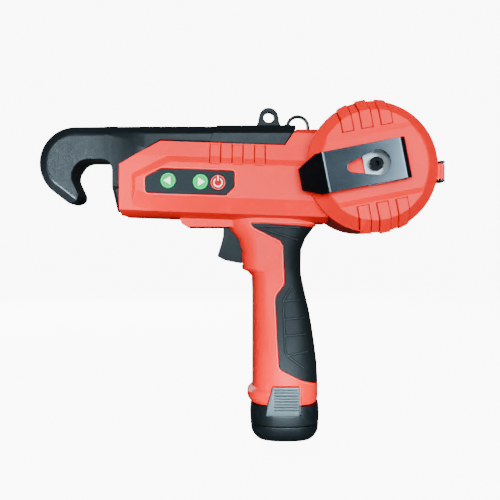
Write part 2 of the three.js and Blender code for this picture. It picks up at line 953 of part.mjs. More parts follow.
function motorSaddles() {
  const back = twistMotorBackX - twistMotorLength;
  const places = [back + wall * 3, twistMotorBackX - wall * 4];
  const tallZ = wireZ - guideTubeR - wall * 2;
  const ribs = places.map((x) => {
    const rib = moved(
      slabX(barrelSection(wall / 2, barrelRimZ), x, x + wall),
      fallMatrix,
    ).intersect(
      box([x - wall, x + wall * 2], [-barrelSideHalf, barrelSideHalf], [rootFloorZ, tallZ]),
    );
    return cut(rib, rodX(twistMotorR + gap, x - wall, x + wall * 2, 0, twistZ, fineSides));
  });
  const clear = box(
    [panelLeftX - wall, panelRightX + wall],
    [-barrelSideHalf + wall, -barrelSideHalf + wall * 2.4],
    [panelLowZ - wall, panelHighZ + wall],
  );
  return ribs.map((rib) => cut(rib, clear));
}

function switchRests() {
  const x = [switchFrontX + wall, switchFrontX + wall * 3];
  const z = [switchLowZ + wall, switchHighZ - wall * 2];
  return [1, -1].map((side) => {
    const ends = [side * (switchHalf + gap), side * (handleWaistHalf - wall)];
    return box(x, [Math.min(...ends), Math.max(...ends)], z);
  });
}

function gearRest() {
  return box(
    [feedGearFrontX + wall, feedGearBackX - wall],
    [feedGearFarY + gap, barrelSideHalf - wall / 2],
    [feedGearLowZ + wall, barrelFaceHighZ - wall * 2],
  );
}

const recessFloorY = panelY + panelThickness + gap;

function panelOutline() {
  return [
    [panelLeftX, panelLowZ + panelTaper + panelNick],
    [panelLeftX + panelNick, panelLowZ + panelTaper],
    [panelRightX - panelBevel, panelLowZ],
    [panelRightX, panelLowZ + panelBevel],
    [panelRightX, panelHighZ - panelTaper - panelNick],
    [panelRightX - panelNick, panelHighZ - panelTaper],
    [panelLeftX + panelFrontLength, panelHighZ],
    [panelLeftX, panelHighZ - panelBevel],
  ];
}

function panelRecess() {
  const outside = -barrelFaceHalf - overrun;
  return joined(
    slabY(grown(panelOutline(), gap), outside, recessFloorY),
    ...buttonPlaces().map(([, x, z]) =>
      rodY(buttonR + buttonFlange + gap, outside, -barrelSideHalf + wall + overrun, x, z),
    ),
  );
}

// Slot that the cutter blade slides in
function cutterRoom() {
  const front = barrelFrontX + wall;
  return box(
    [front, front + cutterThickness + gap * 2],
    [-cutterHalf - gap, cutterHalf + gap],
    [cutterLowZ - cutterTravel - gap, cutterLowZ + cutterHeight + gap],
  );
}

function half(solid, side) {
  const reach = [barrelFrontX * 2, -barrelFrontX * 2];
  const y = side < 0 ? [barrelFrontX, -seam] : [seam, -barrelFrontX];
  return solid.intersect(box(reach, y, [-drumR, reelZ * 2]));
}

// Nose: the mouth's round corners share one height for their centres
const mouthFrontCentre = [mouthFrontX + mouthFrontR, mouthTopZ - mouthFrontR];
const mouthBackCentre = [nosePlateX - mouthBackR, mouthTopZ - mouthBackR];
const hookSweep = [90, 226];
const tipSweepEnd = 380;
const trackSweepEnd = 222;
const trackRoomEnd = 250;
const trackR = wireZ - mouthFrontCentre[1];
const spineSeam = [
  [spineSeamX + spineSeamLean, spineTopZ + overrun],
  [spineSeamX - spineSeamLean / 2, barrelRimZ - overrun],
];

function noseOutline() {
  return [
    spineSeam[0],
    [hookX, spineTopZ + overrun],
    ...arc(hookX, hookZ, hookOuterR, ...hookSweep, midSides),
    ...arc(hookTipX, hookTipZ, hookTipR, hookSweep[1], tipSweepEnd, smallSides),
    ...arc(...mouthFrontCentre, mouthFrontR, 190, 90, smallSides),
    ...arc(...mouthBackCentre, mouthBackR, 90, 0, tinySides),
    [nosePlateX, nosePlateKneeZ],
    [nosePlateFootX, nosePlateFootZ],
    [barrelFrontX - gap, nosePlateFootZ],
    [barrelFrontX - gap, barrelFrontTopZ + gap],
    [barrelKneeX - gap, barrelRimZ + gap],
    [spineSeam[1][0], barrelRimZ + fall(spineSeam[1][0]) + gap],
  ];
}

function spineLoft(inset, topZ, stations) {
  return skinned(
    stations.map(([x, spread]) =>
      spineSection(inset, rootFloorZ, topZ, spread).map(([y, z]) => [x, y, z]),
    ),
  );
}

function noseSolid() {
  const farX = hookX - hookOuterR - overrun;
  const loft = spineLoft(0, spineTopZ, [
    [farX, 0],
    [noseWidenStartX, 0],
    [noseWidenEndX, 1],
    [spineSeamX + spineSeamLean * 2, 1],
  ]);
  const solid = slabY(noseOutline(), -barrelSideHalf, barrelSideHalf).intersect(loft);
  const angle = THREE.MathUtils.degToRad(hookSweep[1]);
  const corner = [hookX + hookOuterR * Math.cos(angle), hookZ + hookOuterR * Math.sin(angle)];
  const drop = corner[1] - rootFloorZ;
  const blob = [
    [noseWidenEndX, spineTopZ],
    ...arc(hookX, hookZ, hookOuterR, ...hookSweep, midSides),
    [corner[0] + drop * 1.29, rootFloorZ],
    [noseWidenEndX, rootFloorZ],
  ];
  const inner = grown(blob, spineEdgeZ - spineTopZ);
  const ring = (points, y) => points.map(([x, z]) => [x, y, z]);
  const rounded = skinned([
    ring(inner, -noseHalf),
    ring(blob, noseBevelDepth - noseHalf),
    ring(blob, noseHalf - noseBevelDepth),
    ring(inner, noseHalf),
  ]);
  const reach = [-barrelSideHalf, barrelSideHalf];
  const tall = [rootFloorZ - overrun, spineTopZ + overrun];
  return joined(
    solid.intersect(rounded).intersect(box([farX, noseWidenStartX], reach, tall)),
    solid.intersect(box([noseWidenStartX, spineSeamX + spineSeamLean * 2], reach, tall)),
  );
}

function trackBand(clearance, toDegrees) {
  const low = trackR - trackThickness / 2 - clearance;
  const high = trackR + trackThickness / 2 + clearance;
  const band = [
    ...arc(...mouthFrontCentre, low, 90, toDegrees, midSides),
    ...arc(...mouthFrontCentre, high, toDegrees, 90, midSides),
  ];
  return slabY(band, -trackHalf - clearance, trackHalf + clearance);
}

function nose() {
  const room = spineLoft(wall, spineTopZ, [
    [noseSolidEndX, 0.87],
    [noseWidenEndX, 1],
    [spineSeamX + spineSeamLean * 3, 1],
  ]);
  return cut(
    noseSolid(),
    room,
    trackBand(gap, trackRoomEnd),
    rodX(guideTubeR + gap, mouthFrontCentre[0] - gap, noseSolidEndX + overrun, 0, wireZ, smallSides),
    rodX(twistPortR, nosePlateX - overrun, barrelFrontX + overrun, 0, twistZ),
    cutterRoom(),
    ...noseScrews.map(([x, z, half]) => screwHole(x, z, half)),
  );
}

function topCover() {
  const topZ = spineTopZ + spineRidge;
  const outline = [
    [spineSeam[0][0] + gap, topZ + overrun],
    [spineSeam[1][0] + gap, barrelRimZ + fall(spineSeam[1][0]) + gap],
    [shoulderFootX - gap, barrelRimZ + fall(shoulderFootX) + gap],
    [shoulderFrontX - gap, shoulderTopZ],
    [shoulderFrontX - gap, topZ + overrun],
  ];
  const ends = [spineSeamX - spineSeamLean * 2, shoulderFrontX];
  const body = slabX(spineSection(0, barrelBandHighZ, topZ), ...ends);
  const room = slabX(
    spineSection(wall, barrelBandHighZ, topZ),
    spineSeamX - spineSeamLean * 3,
    shoulderFootX - wall,
  );
  return cut(
    body.intersect(slabY(outline, -barrelSideHalf, barrelSideHalf)),
    room,
    rodZ(tubeR + gap, barrelRimZ - overrun, topZ + overrun, tubeX - tubeArchR, 0, smallSides),
  );
}

const coverTopZ = spineTopZ + spineRidge;

function lanyardEyelet() {
  const footZ = coverTopZ + gap;
  const rise = eyeletZ - footZ;
  const footShares = [
    [-1, 0],
    [-0.8, 0.55],
    [-0.76, 1],
    [0.76, 1],
    [0.8, 0.55],
    [1, 0],
  ];
  const foot = footShares.map(([x, z]) => [eyeletX + eyeletFootHalf * x, footZ + rise * z]);
  return cut(
    joined(
      slabY(foot, -eyeletHalf, eyeletHalf),
      rodY(eyeletR, -eyeletHalf, eyeletHalf, eyeletX, eyeletZ),
    ),
    rodY(eyeletHoleR, -eyeletHalf - overrun, eyeletHalf + overrun, eyeletX, eyeletZ),
  );
}

// The arch's middle line: up from the top cover, half round, and down into the shoulder
class ArchLine extends THREE.Curve {
  getPoint(t, target = new THREE.Vector3()) {
    const leg = tubeZ - shoulderTopZ + wall;
    const bow = Math.PI * tubeArchR;
    const along = t * (leg * 2 + bow);
    if (along < leg) return target.set(tubeX - tubeArchR, 0, tubeZ - leg + along);
    if (along > leg + bow) return target.set(tubeX + tubeArchR, 0, tubeZ - (along - leg - bow));
    const angle = Math.PI - (along - leg) / tubeArchR;
    return target.set(tubeX + tubeArchR * Math.cos(angle), 0, tubeZ + tubeArchR * Math.sin(angle));
  }
}

function wireGuideTube() {
  const shape = new THREE.Shape().absarc(0, 0, tubeR, 0, Math.PI * 2);
  shape.holes.push(new THREE.Path().absarc(0, 0, tubeBore, 0, Math.PI * 2));
  const geometry = new THREE.ExtrudeGeometry(shape, {
    steps: smallSides,
    curveSegments: tinySides / 2,
    bevelEnabled: false,
    extrudePath: new ArchLine(),
  });
  return solidOf(geometry);
}

function tubeGland() {
  const x = tubeX - tubeArchR;
  const foot = coverTopZ + gap;
  return cut(
    joined(
      rodZ(glandR - gap, foot, foot + glandHeight / 2, x, 0, smallSides),
      rodZ(glandR * 0.75, foot + glandHeight / 2 - seam, foot + glandHeight, x, 0, smallSides),
    ),
    rodZ(tubeR + gap, foot - overrun, foot + glandHeight + overrun, x, 0, smallSides),
  );
}

// Reel cover and what is on it, drawn about the reel's axis
function aboutReel(x, z) {
  const [c, s] = [Math.cos(coverTurn), Math.sin(coverTurn)];
  return [reelX + x * c - z * s, reelZ + x * s + z * c];
}

function turnedBox(x, y, z) {
  const corners = [
    [x[0], z[0]],
    [x[1], z[0]],
    [x[1], z[1]],
    [x[0], z[1]],
  ];
  return slabY(corners.map(([a, b]) => aboutReel(a, b)), ...y);
}

function coverLathe(grow) {
  const footY = -barrelFaceHalf - gap * 2;
  const profile = [
    [0, coverFaceY - grow],
    [coverFaceR - coverEdge, coverFaceY - grow],
    [coverFaceR + grow / 2, coverFaceY + coverEdge / 2 - grow / 2],
    [coverRimR + grow, coverRimY - grow / 2],
    [coverRimR + grow, footY],
    [coverRimR - coverWall, footY],
    [coverRimR - coverWall, coverRimY + coverWall / 3],
    [coverFaceR - coverWall / 3, coverFaceY + coverWall],
    [0, coverFaceY + coverWall],
  ];
  const points = profile.map(([r, y]) => new THREE.Vector2(r, y));
  return solidOf(new THREE.LatheGeometry(points, fineSides).translate(reelX, 0, reelZ));
}

// A field of the cover's face, sunk beyond a slope along the raised middle band
function coverField(side) {
  const frontY = coverFaceY - overrun;
  const floorY = coverFaceY + coverFieldDepth;
  const reach = coverRimR + overrun;
  const outline = [
    [frontY, coverFieldLow],
    [coverFaceY, coverFieldLow],
    [floorY, coverFieldHigh],
    [floorY, reach],
    [frontY, reach],
  ].map(([y, z]) => [y, side * z]);
  const turn = new THREE.Matrix4().makeRotationY(-coverTurn).setPosition(reelX, 0, reelZ);
  return moved(slabX(outline, -reach, reach), turn);
}

function reelCover() {
  const raised = coverLathe(coverPadRise);
  const deep = [coverFaceY + coverFieldDepth - coverPadRise, overrun - barrelFaceHalf];
  const padReach = coverRimR + overrun;
  const pads = [-1, 0, 1].flatMap((n) => {
    const x = [n * coverPadPitch - coverPadWidth / 2, n * coverPadPitch + coverPadWidth / 2];
    return [
      raised.intersect(turnedBox(x, deep, [coverPadStart, padReach])),
      raised.intersect(turnedBox(x, deep, [-padReach, -coverPadStart])),
    ];
  });
  const bossSpan = [coverFaceY - overrun, coverFaceY + coverBossDepth + overrun];
  const strap = box(
    [reelX + coverRimR - coverWall, hingeX],
    [hingeY - coverEdge, -barrelFaceHalf - gap * 2],
    [hingeZ - knuckleHalf, hingeZ + knuckleHalf],
  );
  const knuckle = rodZ(knuckleR, hingeZ - knuckleHalf, hingeZ + knuckleHalf, hingeX, hingeY, smallSides);
  return cut(
    joined(
      cut(coverLathe(0), coverField(1), coverField(-1)),
      ...pads,
      rodY(coverBossR, coverFaceY + coverWall / 2, coverFaceY + coverBossDepth, reelX, reelZ),
      strap,
      knuckle,
    ),
    rodY(clipScrewR + gap, ...bossSpan, reelX, reelZ, smallSides),
    rodZ(hingeBoreR, hingeZ - knuckleHalf * 2, hingeZ + knuckleHalf * 2, hingeX, hingeY, smallSides),
  );
}

function coverHingeBracket() {
  const inner = knuckleHalf + gap;
  const outer = inner + hingeEar;
  const reach = [reelX + drumR - wall, bracketPlateX];
  const plateY = [hingeY + knuckleR, hingeY + knuckleR + bracketDepth];
  const plate = box(reach, plateY, [hingeZ - outer, hingeZ + outer]);
  const earFrontX = bracketPlateX - wall / 4;
  const earBackX = hingeX + hingeEarReach;
  const earRootY = hingeY + knuckleR + bracketDepth / 2;
  const earOutline = [
    [earFrontX, earRootY],
    [earFrontX, hingeY],
    [earFrontX + hingeEarReach / 2, hingeY - hingeEarReach],
    [earBackX, hingeY - hingeEarReach],
    [earBackX, earRootY],
  ];
  const ears = [-1, 1].map((side) => {
    const ends = [hingeZ + side * inner, hingeZ + side * outer];
    return slabZ(earOutline, Math.min(...ends), Math.max(...ends));
  });
  return cut(
    joined(plate, ...ears),
    rodY(drumR + gap, -drumR, drumR, reelX, reelZ, fineSides * 2),
    rodZ(hingeBoreR, hingeZ - outer * 2, hingeZ + outer * 2, hingeX, hingeY, smallSides),
  );
}

// A strip of even thickness along a path, as an outline
function ribbon(path, thickness) {
  const offset = (side) =>
    path.map((p, i) => {
      const from = path[Math.max(i - 1, 0)];
      const to = path[Math.min(i + 1, path.length - 1)];
      const unit = (a, b) => {
        const length = Math.hypot(b[0] - a[0], b[1] - a[1]);
        return [(b[0] - a[0]) / length, (b[1] - a[1]) / length];
      };
      const before = i ? unit(from, p) : unit(p, to);
      const after = i < path.length - 1 ? unit(p, to) : before;
      const share = 1 + before[0] * after[0] + before[1] * after[1];
      const reach = (side * thickness) / 2 / share;
      return [p[0] - (before[1] + after[1]) * reach, p[1] + (before[0] + after[0]) * reach];
    });
  return [...offset(1), ...offset(-1).reverse()];
}

function beltClip() {
  const leafY = coverFaceY - gap - clipSheet / 2;
  const outerY = clipOuterY + clipSheet / 2;
  const bend = (leafY - outerY) / 2;
  const path = [
    [clipLeafEnd, leafY],
    ...arc(clipBendAt, (leafY + outerY) / 2, bend, 90, -90, tinySides),
    [clipPlateEnd, outerY],
    [clipTipEnd, clipTipY],
  ];
  const strip = slabZ(ribbon(path, clipSheet), -clipHalf, clipHalf);
  const shoulder = clipPlateEnd + (clipTipEnd - clipPlateEnd) * 0.3;
  const plan = [
    [clipTipEnd - overrun, -clipTipHalf],
    [shoulder, -clipHalf],
    [clipBendAt + bend * 2, -clipHalf],
    [clipBendAt + bend * 2, clipHalf],
    [shoulder, clipHalf],
    [clipTipEnd - overrun, clipTipHalf],
  ];
  const through = [clipOuterY - overrun, (leafY + outerY) / 2];
  const narrowX = clipSlotEnd + clipSlotHalf;
  const lean = 90 + THREE.MathUtils.radToDeg(Math.asin((clipKeyR - clipSlotHalf) / -narrowX));
  const keyhole = [
    ...arc(0, 0, clipKeyR, -lean, lean, midSides),
    ...arc(narrowX, 0, clipSlotHalf, lean, 360 - lean, smallSides),
  ];
  return cut(
    strip.intersect(slabY(plan, clipOuterY - overrun, 0)),
    slabY(keyhole, ...through),
    rodY(clipScrewR + gap, through[1], 0, 0, 0, smallSides),
  );
}

function beltClipScrew() {
  const seatY = coverFaceY - gap * 2 - clipSheet;
  const hex = Array.from({ length: 6 }, (_, i) => {
    const angle = (Math.PI * i) / 3;
    return [clipSocketHalf * Math.cos(angle), clipSocketHalf * Math.sin(angle)];
  });
  return cut(
    joined(
      rodY(clipScrewHeadR, seatY - clipScrewHead, seatY, 0, 0),
      rodY(clipScrewR, seatY - seam, coverFaceY + coverBossDepth - gap, 0, 0, smallSides),
    ),
    slabY(hex, seatY - clipScrewHead - overrun, seatY - clipScrewHead / 3),
  );
}

// Spool group on the fixed axle
function ring(outer, inner, from, to, x, z, count = midSides) {
  return cut(
    rodY(outer, from, to, x, z, count),
    rodY(inner, from - overrun, to + overrun, x, z, midSides),
  );
}

function reelAxle() {
  const wallY = drumFarY - wall - gap;
  return joined(
    rodY(axleR, axleEndY, wallY, reelX, reelZ),
    rodY(axleFlangeR, wallY - axleFlangeThickness, wallY, reelX, reelZ),
  );
}

function wireSpool() {
  const place = [reelX, reelZ];
  return joined(
    ring(spoolHubR, axleR + gap, spoolNearY, spoolFarY, ...place),
    ring(spoolR, axleR + gap, spoolNearY, spoolNearY + spoolFlange, ...place, fineSides),
    ring(spoolR, axleR + gap, spoolFarY - spoolFlange, spoolFarY, ...place, fineSides),
  );
}

function wireWinding() {
  const ends = [spoolNearY + spoolFlange + gap, spoolFarY - spoolFlange - gap];
  return ring(windingR, spoolHubR + gap, ...ends, reelX, reelZ, fineSides);
}

function spoolRetainer() {
  const back = spoolNearY - gap;
  return ring(retainerR, axleR + seam, back - retainerThickness, back, reelX, reelZ);
}

// Control panel, buttons and their board
function controlPanel() {
  const back = panelY + panelThickness;
  return cut(
    slabY(panelOutline(), panelY, back),
    ...buttonPlaces().map(([, x, z]) =>
      rodY(buttonR + gap, panelY - overrun, back + overrun, x, z),
    ),
  );
}

function buttonPlaces() {
  return [
    ["forward_button", forwardX, forwardZ, green],
    ["reverse_button", reverseX, reverseZ, green],
    ["power_button", powerX, powerZ, powerRed],
  ];
}

function button(x, z) {
  const flangeY = panelY + panelThickness + gap;
  const boardY = -barrelSideHalf + wall + gap;
  return joined(
    rodY(buttonR, panelY - buttonProud, flangeY + seam, x, z),
    rodY(buttonR + buttonFlange, flangeY, flangeY + buttonFlangeThickness, x, z),
    rodY(buttonStemR, flangeY, boardY - buttonTravel - gap, x, z, smallSides),
  );
}

function buttonBoard() {
  const face = -barrelSideHalf + wall + gap;
  return box(
    [panelLeftX + wall, panelRightX - wall / 2],
    [face, face + boardThickness],
    [panelLowZ + wall, panelHighZ - wall],
  );
}

// Trigger group
const triggerShares = [
  [0.18, 0.83],
  [0.17, 0.59],
  [0.105, 0.41],
  [0, 0.18],
  [0.01, 0.145],
  [0.235, 0.065],
  [0.74, 0],
  [0.995, 0.05],
  [1.0, 0.6],
  [0.82, 1.0],
  [0.36, 1.0],
];

function trigger() {
  const topZ = triggerPivotZ + screwBossR * 0.7;
  const outline = triggerShares.map(([x, z]) => [
    triggerTipX + (triggerBackX - triggerTipX) * x,
    triggerFootZ + (topZ - triggerFootZ) * z,
  ]);
  const pin = [triggerPivotX, triggerPivotZ];
  return cut(
    slabY(outline, -triggerHalf, triggerHalf),
    rodY(triggerPinR + gap, -triggerHalf * 2, triggerHalf * 2, ...pin, smallSides),
    rodY(triggerSpringR + gap, triggerSpringY[0] - gap, triggerHalf * 2, ...pin, smallSides),
  );
}

function triggerSwitch() {
  const front = switchFrontX;
  const plungerEnd = front + plungerDepth + triggerLead() + gap;
  return cut(
    box([front, front + switchLength], [-switchHalf, switchHalf], [switchLowZ, switchHighZ]),
    rodX(plungerR + gap, front - overrun, plungerEnd, 0, plungerZ, smallSides),
  );
}

// How far the trigger's back pushes the plunger at full pull
function triggerLead() {
  return (triggerPivotZ - plungerZ) * triggerTravel;
}

// Feed group
function feedFrame() {
  const sides = [-1, 1].map((side) => {
    const ends = [side * frameInnerHalf, side * (frameInnerHalf + framePlate)];
    return box(
      [frameFrontX, frameBackX],
      [Math.min(...ends), Math.max(...ends)],
      [frameLowZ, frameHighZ],
    );
  });
  const outer = frameInnerHalf + framePlate;
  const floor = box([frameFrontX, frameBackX], [-outer, outer], [frameLowZ, frameLowZ + framePlate]);
  return cut(
    joined(...sides, floor),
    rodY(rollerShaftR + gap, -outer * 2, outer * 2, rollerX, driveZ, smallSides),
    rodY(rollerShaftR + gap * 4, -outer * 2, outer * 2, rollerX, pressZ, smallSides),
    rodY(rollerShaftR + gap, -outer * 2, outer * 2, armPivotX, pressZ, smallSides),
  );
}

const driveZ = wireZ - wireR - rollerR;
const pressZ = wireZ + wireR + rollerR;

function driveRoller() {
  const outer = frameInnerHalf + framePlate;
  return joined(
    rodY(rollerR, -rollerHalf, rollerHalf, rollerX, driveZ),
    rodY(rollerShaftR, -outer, outer + gap + wall * 1.5, rollerX, driveZ, smallSides),
  );
}

function pressureRoller() {
  const reach = rollerHalf + gap + armCheek;
  return joined(
    rodY(rollerR, -rollerHalf, rollerHalf, rollerX, pressZ),
    rodY(rollerShaftR, -reach, reach, rollerX, pressZ, smallSides),
  );
}

function pressureArm() {
  const inner = rollerHalf + gap;
  const outer = inner + armCheek;
  const armHalf = rollerShaftR * 2;
  const cheeks = [-1, 1].map((side) => {
    const ends = [Math.min(side * inner, side * outer), Math.max(side * inner, side * outer)];
    return joined(
      rodY(armHalf, ...ends, armPivotX, pressZ, smallSides),
      rodY(armHalf, ...ends, rollerX, pressZ, smallSides),
      box([armPivotX, rollerX], ends, [pressZ - armHalf, pressZ + armHalf]),
    );
  });
  const bridgeZ = [pressZ - rollerShaftR, pressZ + armHalf];
  const bridge = box([armPivotX - armHalf, armPivotX], [-outer, outer], bridgeZ);
  return cut(
    joined(...cheeks, bridge),
    rodY(rollerShaftR + gap, -outer * 2, outer * 2, armPivotX, pressZ, smallSides),
    rodY(rollerShaftR + gap, -outer * 2, outer * 2, rollerX, pressZ, smallSides),
  );
}

function pressureArmPin() {
  const outer = frameInnerHalf + framePlate;
  return rodY(rollerShaftR, -outer, outer, armPivotX, pressZ, smallSides);
}

function feedGearbox() {
  const near = frameInnerHalf + framePlate + gap;
  return cut(
    box([feedGearFrontX, feedGearBackX], [near, feedGearFarY], [feedGearLowZ, wireZ]),
    rodY(rollerShaftR + gap, near - overrun, near + wall * 2, rollerX, driveZ, smallSides),
  );
}

function feedMotor() {
  return rodY(feedMotorR, feedMotorNearY, frameInnerHalf + framePlate, feedMotorX, feedMotorZ);
}

function feedGuideTube() {
  const front = mouthFrontCentre[0] + gap;
  return cut(
    rodX(guideTubeR, front, guideTubeBackX, 0, wireZ, tinySides),
    rodX(guideTubeBore, front - overrun, guideTubeBackX + overrun, 0, wireZ, tinySides),
  );
}

// Twisting group
const twistMotorFrontX = twistMotorBackX - twistMotorLength;
const twistGearboxFrontX = twistMotorFrontX - gap - twistGearboxLength;

function twisterHead() {
  const front = nosePlateX + seam;
  const slot = [-twistForkSlot / 2, twistForkSlot / 2];
  return cut(
    joined(
      rodX(twistHeadR, front, twistHeadX, 0, twistZ),
      rodX(twistShaftR, twistHeadX - seam, twistGearboxFrontX - gap, 0, twistZ, smallSides),
    ),
    box([front - overrun, front + twistForkDepth], slot, [twistZ - twistHeadR * 2, twistZ + twistHeadR * 2]),
  );
}

function cutterBlade() {
  const front = barrelFrontX + wall + gap;
  const x = [front, front + cutterThickness];
  return box(x, [-cutterHalf, cutterHalf], [cutterLowZ, cutterLowZ + cutterHeight]);
}

function mainBoard() {
  const face = -barrelSideHalf + wall + gap;
  const y = [face, face + boardThickness];
  return box([mainBoardFrontX, mainBoardBackX], y, [mainBoardLowZ, mainBoardHighZ]);
}

// Battery group
const cellPlaces = [
  [cellRearX, cellSideY],
  [cellRearX, -cellSideY],
  [cellFrontX, 0],
];

function cellHoles() {
  const z = [cellFootZ - gap, cellFootZ + cellLength + gap];
  return cellPlaces.map(([x, y]) => rodZ(cellR + cellHoleGap, ...z, x, y));
}

// Battery outline: each row holds a height, a front, a back and a half-width, as shares
const batteryShares = [
  [0.125, 0.9, 0.9, 0.9],
  [0.24, 0.965, 0.965, 0.965],
  [0.454, 0.985, 0.985, 0.985],
  [0.47, 0.985, 0.985, 0.985],
  [0.72, 1.0, 1.0, 1.0],
  [1.0, 0.97, 0.98, 0.97],
];

function batteryRing([up, front, back, half]) {
  return roundedRing(
    -batteryHalfX * front,
    batteryHalfX * back,
    batteryHalfY * half,
    batteryFootZ + (batteryTopZ - batteryFootZ) * up,
    handleSquareness,
    midSides + smallSides / 3,
  );
}

function batteryBase() {
  const foot = [
    roundedRing(-footHalfX, footHalfX, footHalfY, batteryFootZ, handleSquareness, midSides + smallSides / 3),
    roundedRing(
      -footHalfX - wall,
      footHalfX + wall,
      footHalfY + wall,
      batteryFootZ + wall / 3,
      handleSquareness,
      midSides + smallSides / 3,
    ),
  ];
  const rows = batteryShares.slice(0, 3).map(batteryRing);
  return cut(skinned([...foot, ...rows]), ...cellHoles());
}

function batteryBody() {
  const rows = batteryShares.slice(3).map(batteryRing);
  const stem = slabZ(stemOutline(0), batteryTopZ - wall, stemTopZ);
  return cut(joined(skinned(rows), stem), ...cellHoles(), latchPocket(1), latchPocket(-1));
}

function batteryLatch(side) {
  const outline = latchOutline(0);
  const place = (from, to) => [Math.min(side * from, side * to), Math.max(side * from, side * to)];
  const plate = slabY(outline, ...place(latchOuterY - latchThickness, latchOuterY));
  const pitch = (latchTopZ - latchFootZ) / (latchRibs + 1);
  const ribs = Array.from({ length: latchRibs }, (_, n) => {
    const z = latchTopZ - pitch * (n + 0.7);
    return box(
      [latchFootX + wall * 2.4, latchBackX - wall / 2],
      place(latchOuterY - seam, latchOuterY + latchRibRise),
      [z - latchRib / 2, z + latchRib / 2],
    );
  });
  return joined(plate, ...ribs);
}

function batteryContacts() {
  const low = stemTopZ + gap;
  return box(
    [stemX - contactHalfX, stemX + contactHalfX],
    [-contactHalfY, contactHalfY],
    [low, low + contactHeight - gap],
  );
}

function terminalBlock() {
  return box(
    [stemX - terminalHalfX, stemX + terminalHalfX],
    [-terminalHalfY, terminalHalfY],
    [socketTopZ, terminalTopZ],
  );
}

// The whole tool
const tool = new THREE.Group();
tool.name = "vine_tying_tool";
tool.position.z = -batteryFootZ;
const group = (name, x = 0, z = 0) => {
  const made = new THREE.Group();
  made.name = name;
  made.position.set(x, 0, z);
  tool.add(made);
  return made;
};

const casingSolid = casing();
const body = group("body");
body.add(
  piece("left_shell", half(casingSolid, -1), red),
  piece("right_shell", half(casingSolid, 1), red),
  piece("grip_overmould", gripOvermould(), rubber),
  piece("top_cover", topCover(), black),
  piece("lanyard_eyelet", lanyardEyelet(), black),
  piece("tube_gland", tubeGland(), black),
  piece("wire_guide_tube", wireGuideTube(), steel),
);

const noseWhole = nose();
const noseGroup = group("nose");
noseGroup.add(
  piece("nose_left", half(noseWhole, -1), black),
  piece("nose_right", half(noseWhole, 1), black),
  piece("wire_guide_track", trackBand(0, trackSweepEnd), steel),
  piece("feed_guide_tube", feedGuideTube(), steel),
);

const reel = group("reel");
reel.add(
  piece("reel_cover", reelCover(), red),
  piece("cover_hinge_bracket", coverHingeBracket(), black),
  piece(
    "cover_hinge_pin",
    rodZ(hingePinR, hingeZ - hingePinHalf, hingeZ + hingePinHalf, hingeX, hingeY, tinySides),
    steel,
  ),
  piece("reel_axle", reelAxle(), slate),
  piece("wire_spool", wireSpool(), slate),
  piece("wire_winding", wireWinding(), wireGreen),
  piece("spool_retainer", spoolRetainer(), black),
);

const clip = group("clip", reelX, reelZ);
clip.rotation.y = -coverTurn;
clip.add(piece("belt_clip", beltClip(), steel), piece("belt_clip_screw", beltClipScrew(), black));

const controls = group("controls");
controls.add(
  piece("control_panel", controlPanel(), slate),
  piece("button_board", buttonBoard(), boardGreen),
  ...buttonPlaces().map(([name, x, z, look]) => piece(name, button(x, z), look)),
  piece("main_board", mainBoard(), boardGreen),
);

const triggerGroup = group("trigger_group");
triggerGroup.add(
  piece("trigger", trigger(), slate),
  piece(
    "trigger_pin",
    rodY(triggerPinR, -triggerPinHalf, triggerPinHalf, triggerPivotX, triggerPivotZ, smallSides),
    steel,
  ),
  piece(
    "trigger_spring",
    ring(triggerSpringR, triggerPinR + gap, ...triggerSpringY, triggerPivotX, triggerPivotZ, smallSides),
    steel,
  ),
  piece("trigger_switch", triggerSwitch(), black),
  piece(
    "switch_plunger",
    rodX(plungerR, triggerBackX + gap * 2, switchFrontX + plungerDepth, 0, plungerZ, smallSides),
    red,
  ),
);

const twisting = group("twisting");
twisting.add(
  piece("twist_motor", rodX(twistMotorR, twistMotorFrontX, twistMotorBackX, 0, twistZ), steel),
  piece(
    "twist_gearbox",
    rodX(twistMotorR, twistGearboxFrontX, twistMotorFrontX - gap, 0, twistZ),
    slate,
  ),
  piece("twister_head", twisterHead(), steel),
  piece("cutter_blade", cutterBlade(), steel),
);

const feeding = group("feeding");
feeding.add(
  piece("feed_frame", feedFrame(), steel),
  piece("feed_gearbox", feedGearbox(), slate),
  piece("feed_motor", feedMotor(), steel),
  piece("drive_roller", driveRoller(), steel),
  piece("pressure_roller", pressureRoller(), steel),
  piece("pressure_arm", pressureArm(), steel),
  piece("pressure_arm_pin", pressureArmPin(), steel),
);

const battery = group("battery");
battery.add(
  piece("battery_base", batteryBase(), black),
  piece("battery_body", batteryBody(), black),
  piece("battery_contacts", batteryContacts(), brass),
  piece("battery_latch_left", batteryLatch(-1), slate),
  piece("battery_latch_right", batteryLatch(1), slate),
  ...cellPlaces.map(([x, y], n) =>
    piece(`battery_cell_${n + 1}`, rodZ(cellR, cellFootZ, cellFootZ + cellLength, x, y), cellBlue),
  ),
);
body.add(piece("terminal_block", terminalBlock(), black));

const screws = group("screws");
casingScrews.forEach((place, n) => screws.add(piece(`casing_screw_${n + 1}`, screw(...place), steel)));
noseScrews.forEach((place, n) => screws.add(piece(`nose_screw_${n + 1}`, screw(...place), steel)));

export default tool;
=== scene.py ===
"""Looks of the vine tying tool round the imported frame: camera, light, finishes and detailed pieces."""

import json
import math

import bmesh
import bpy
from mathutils import Matrix, Vector
from mathutils.bvhtree import BVHTree

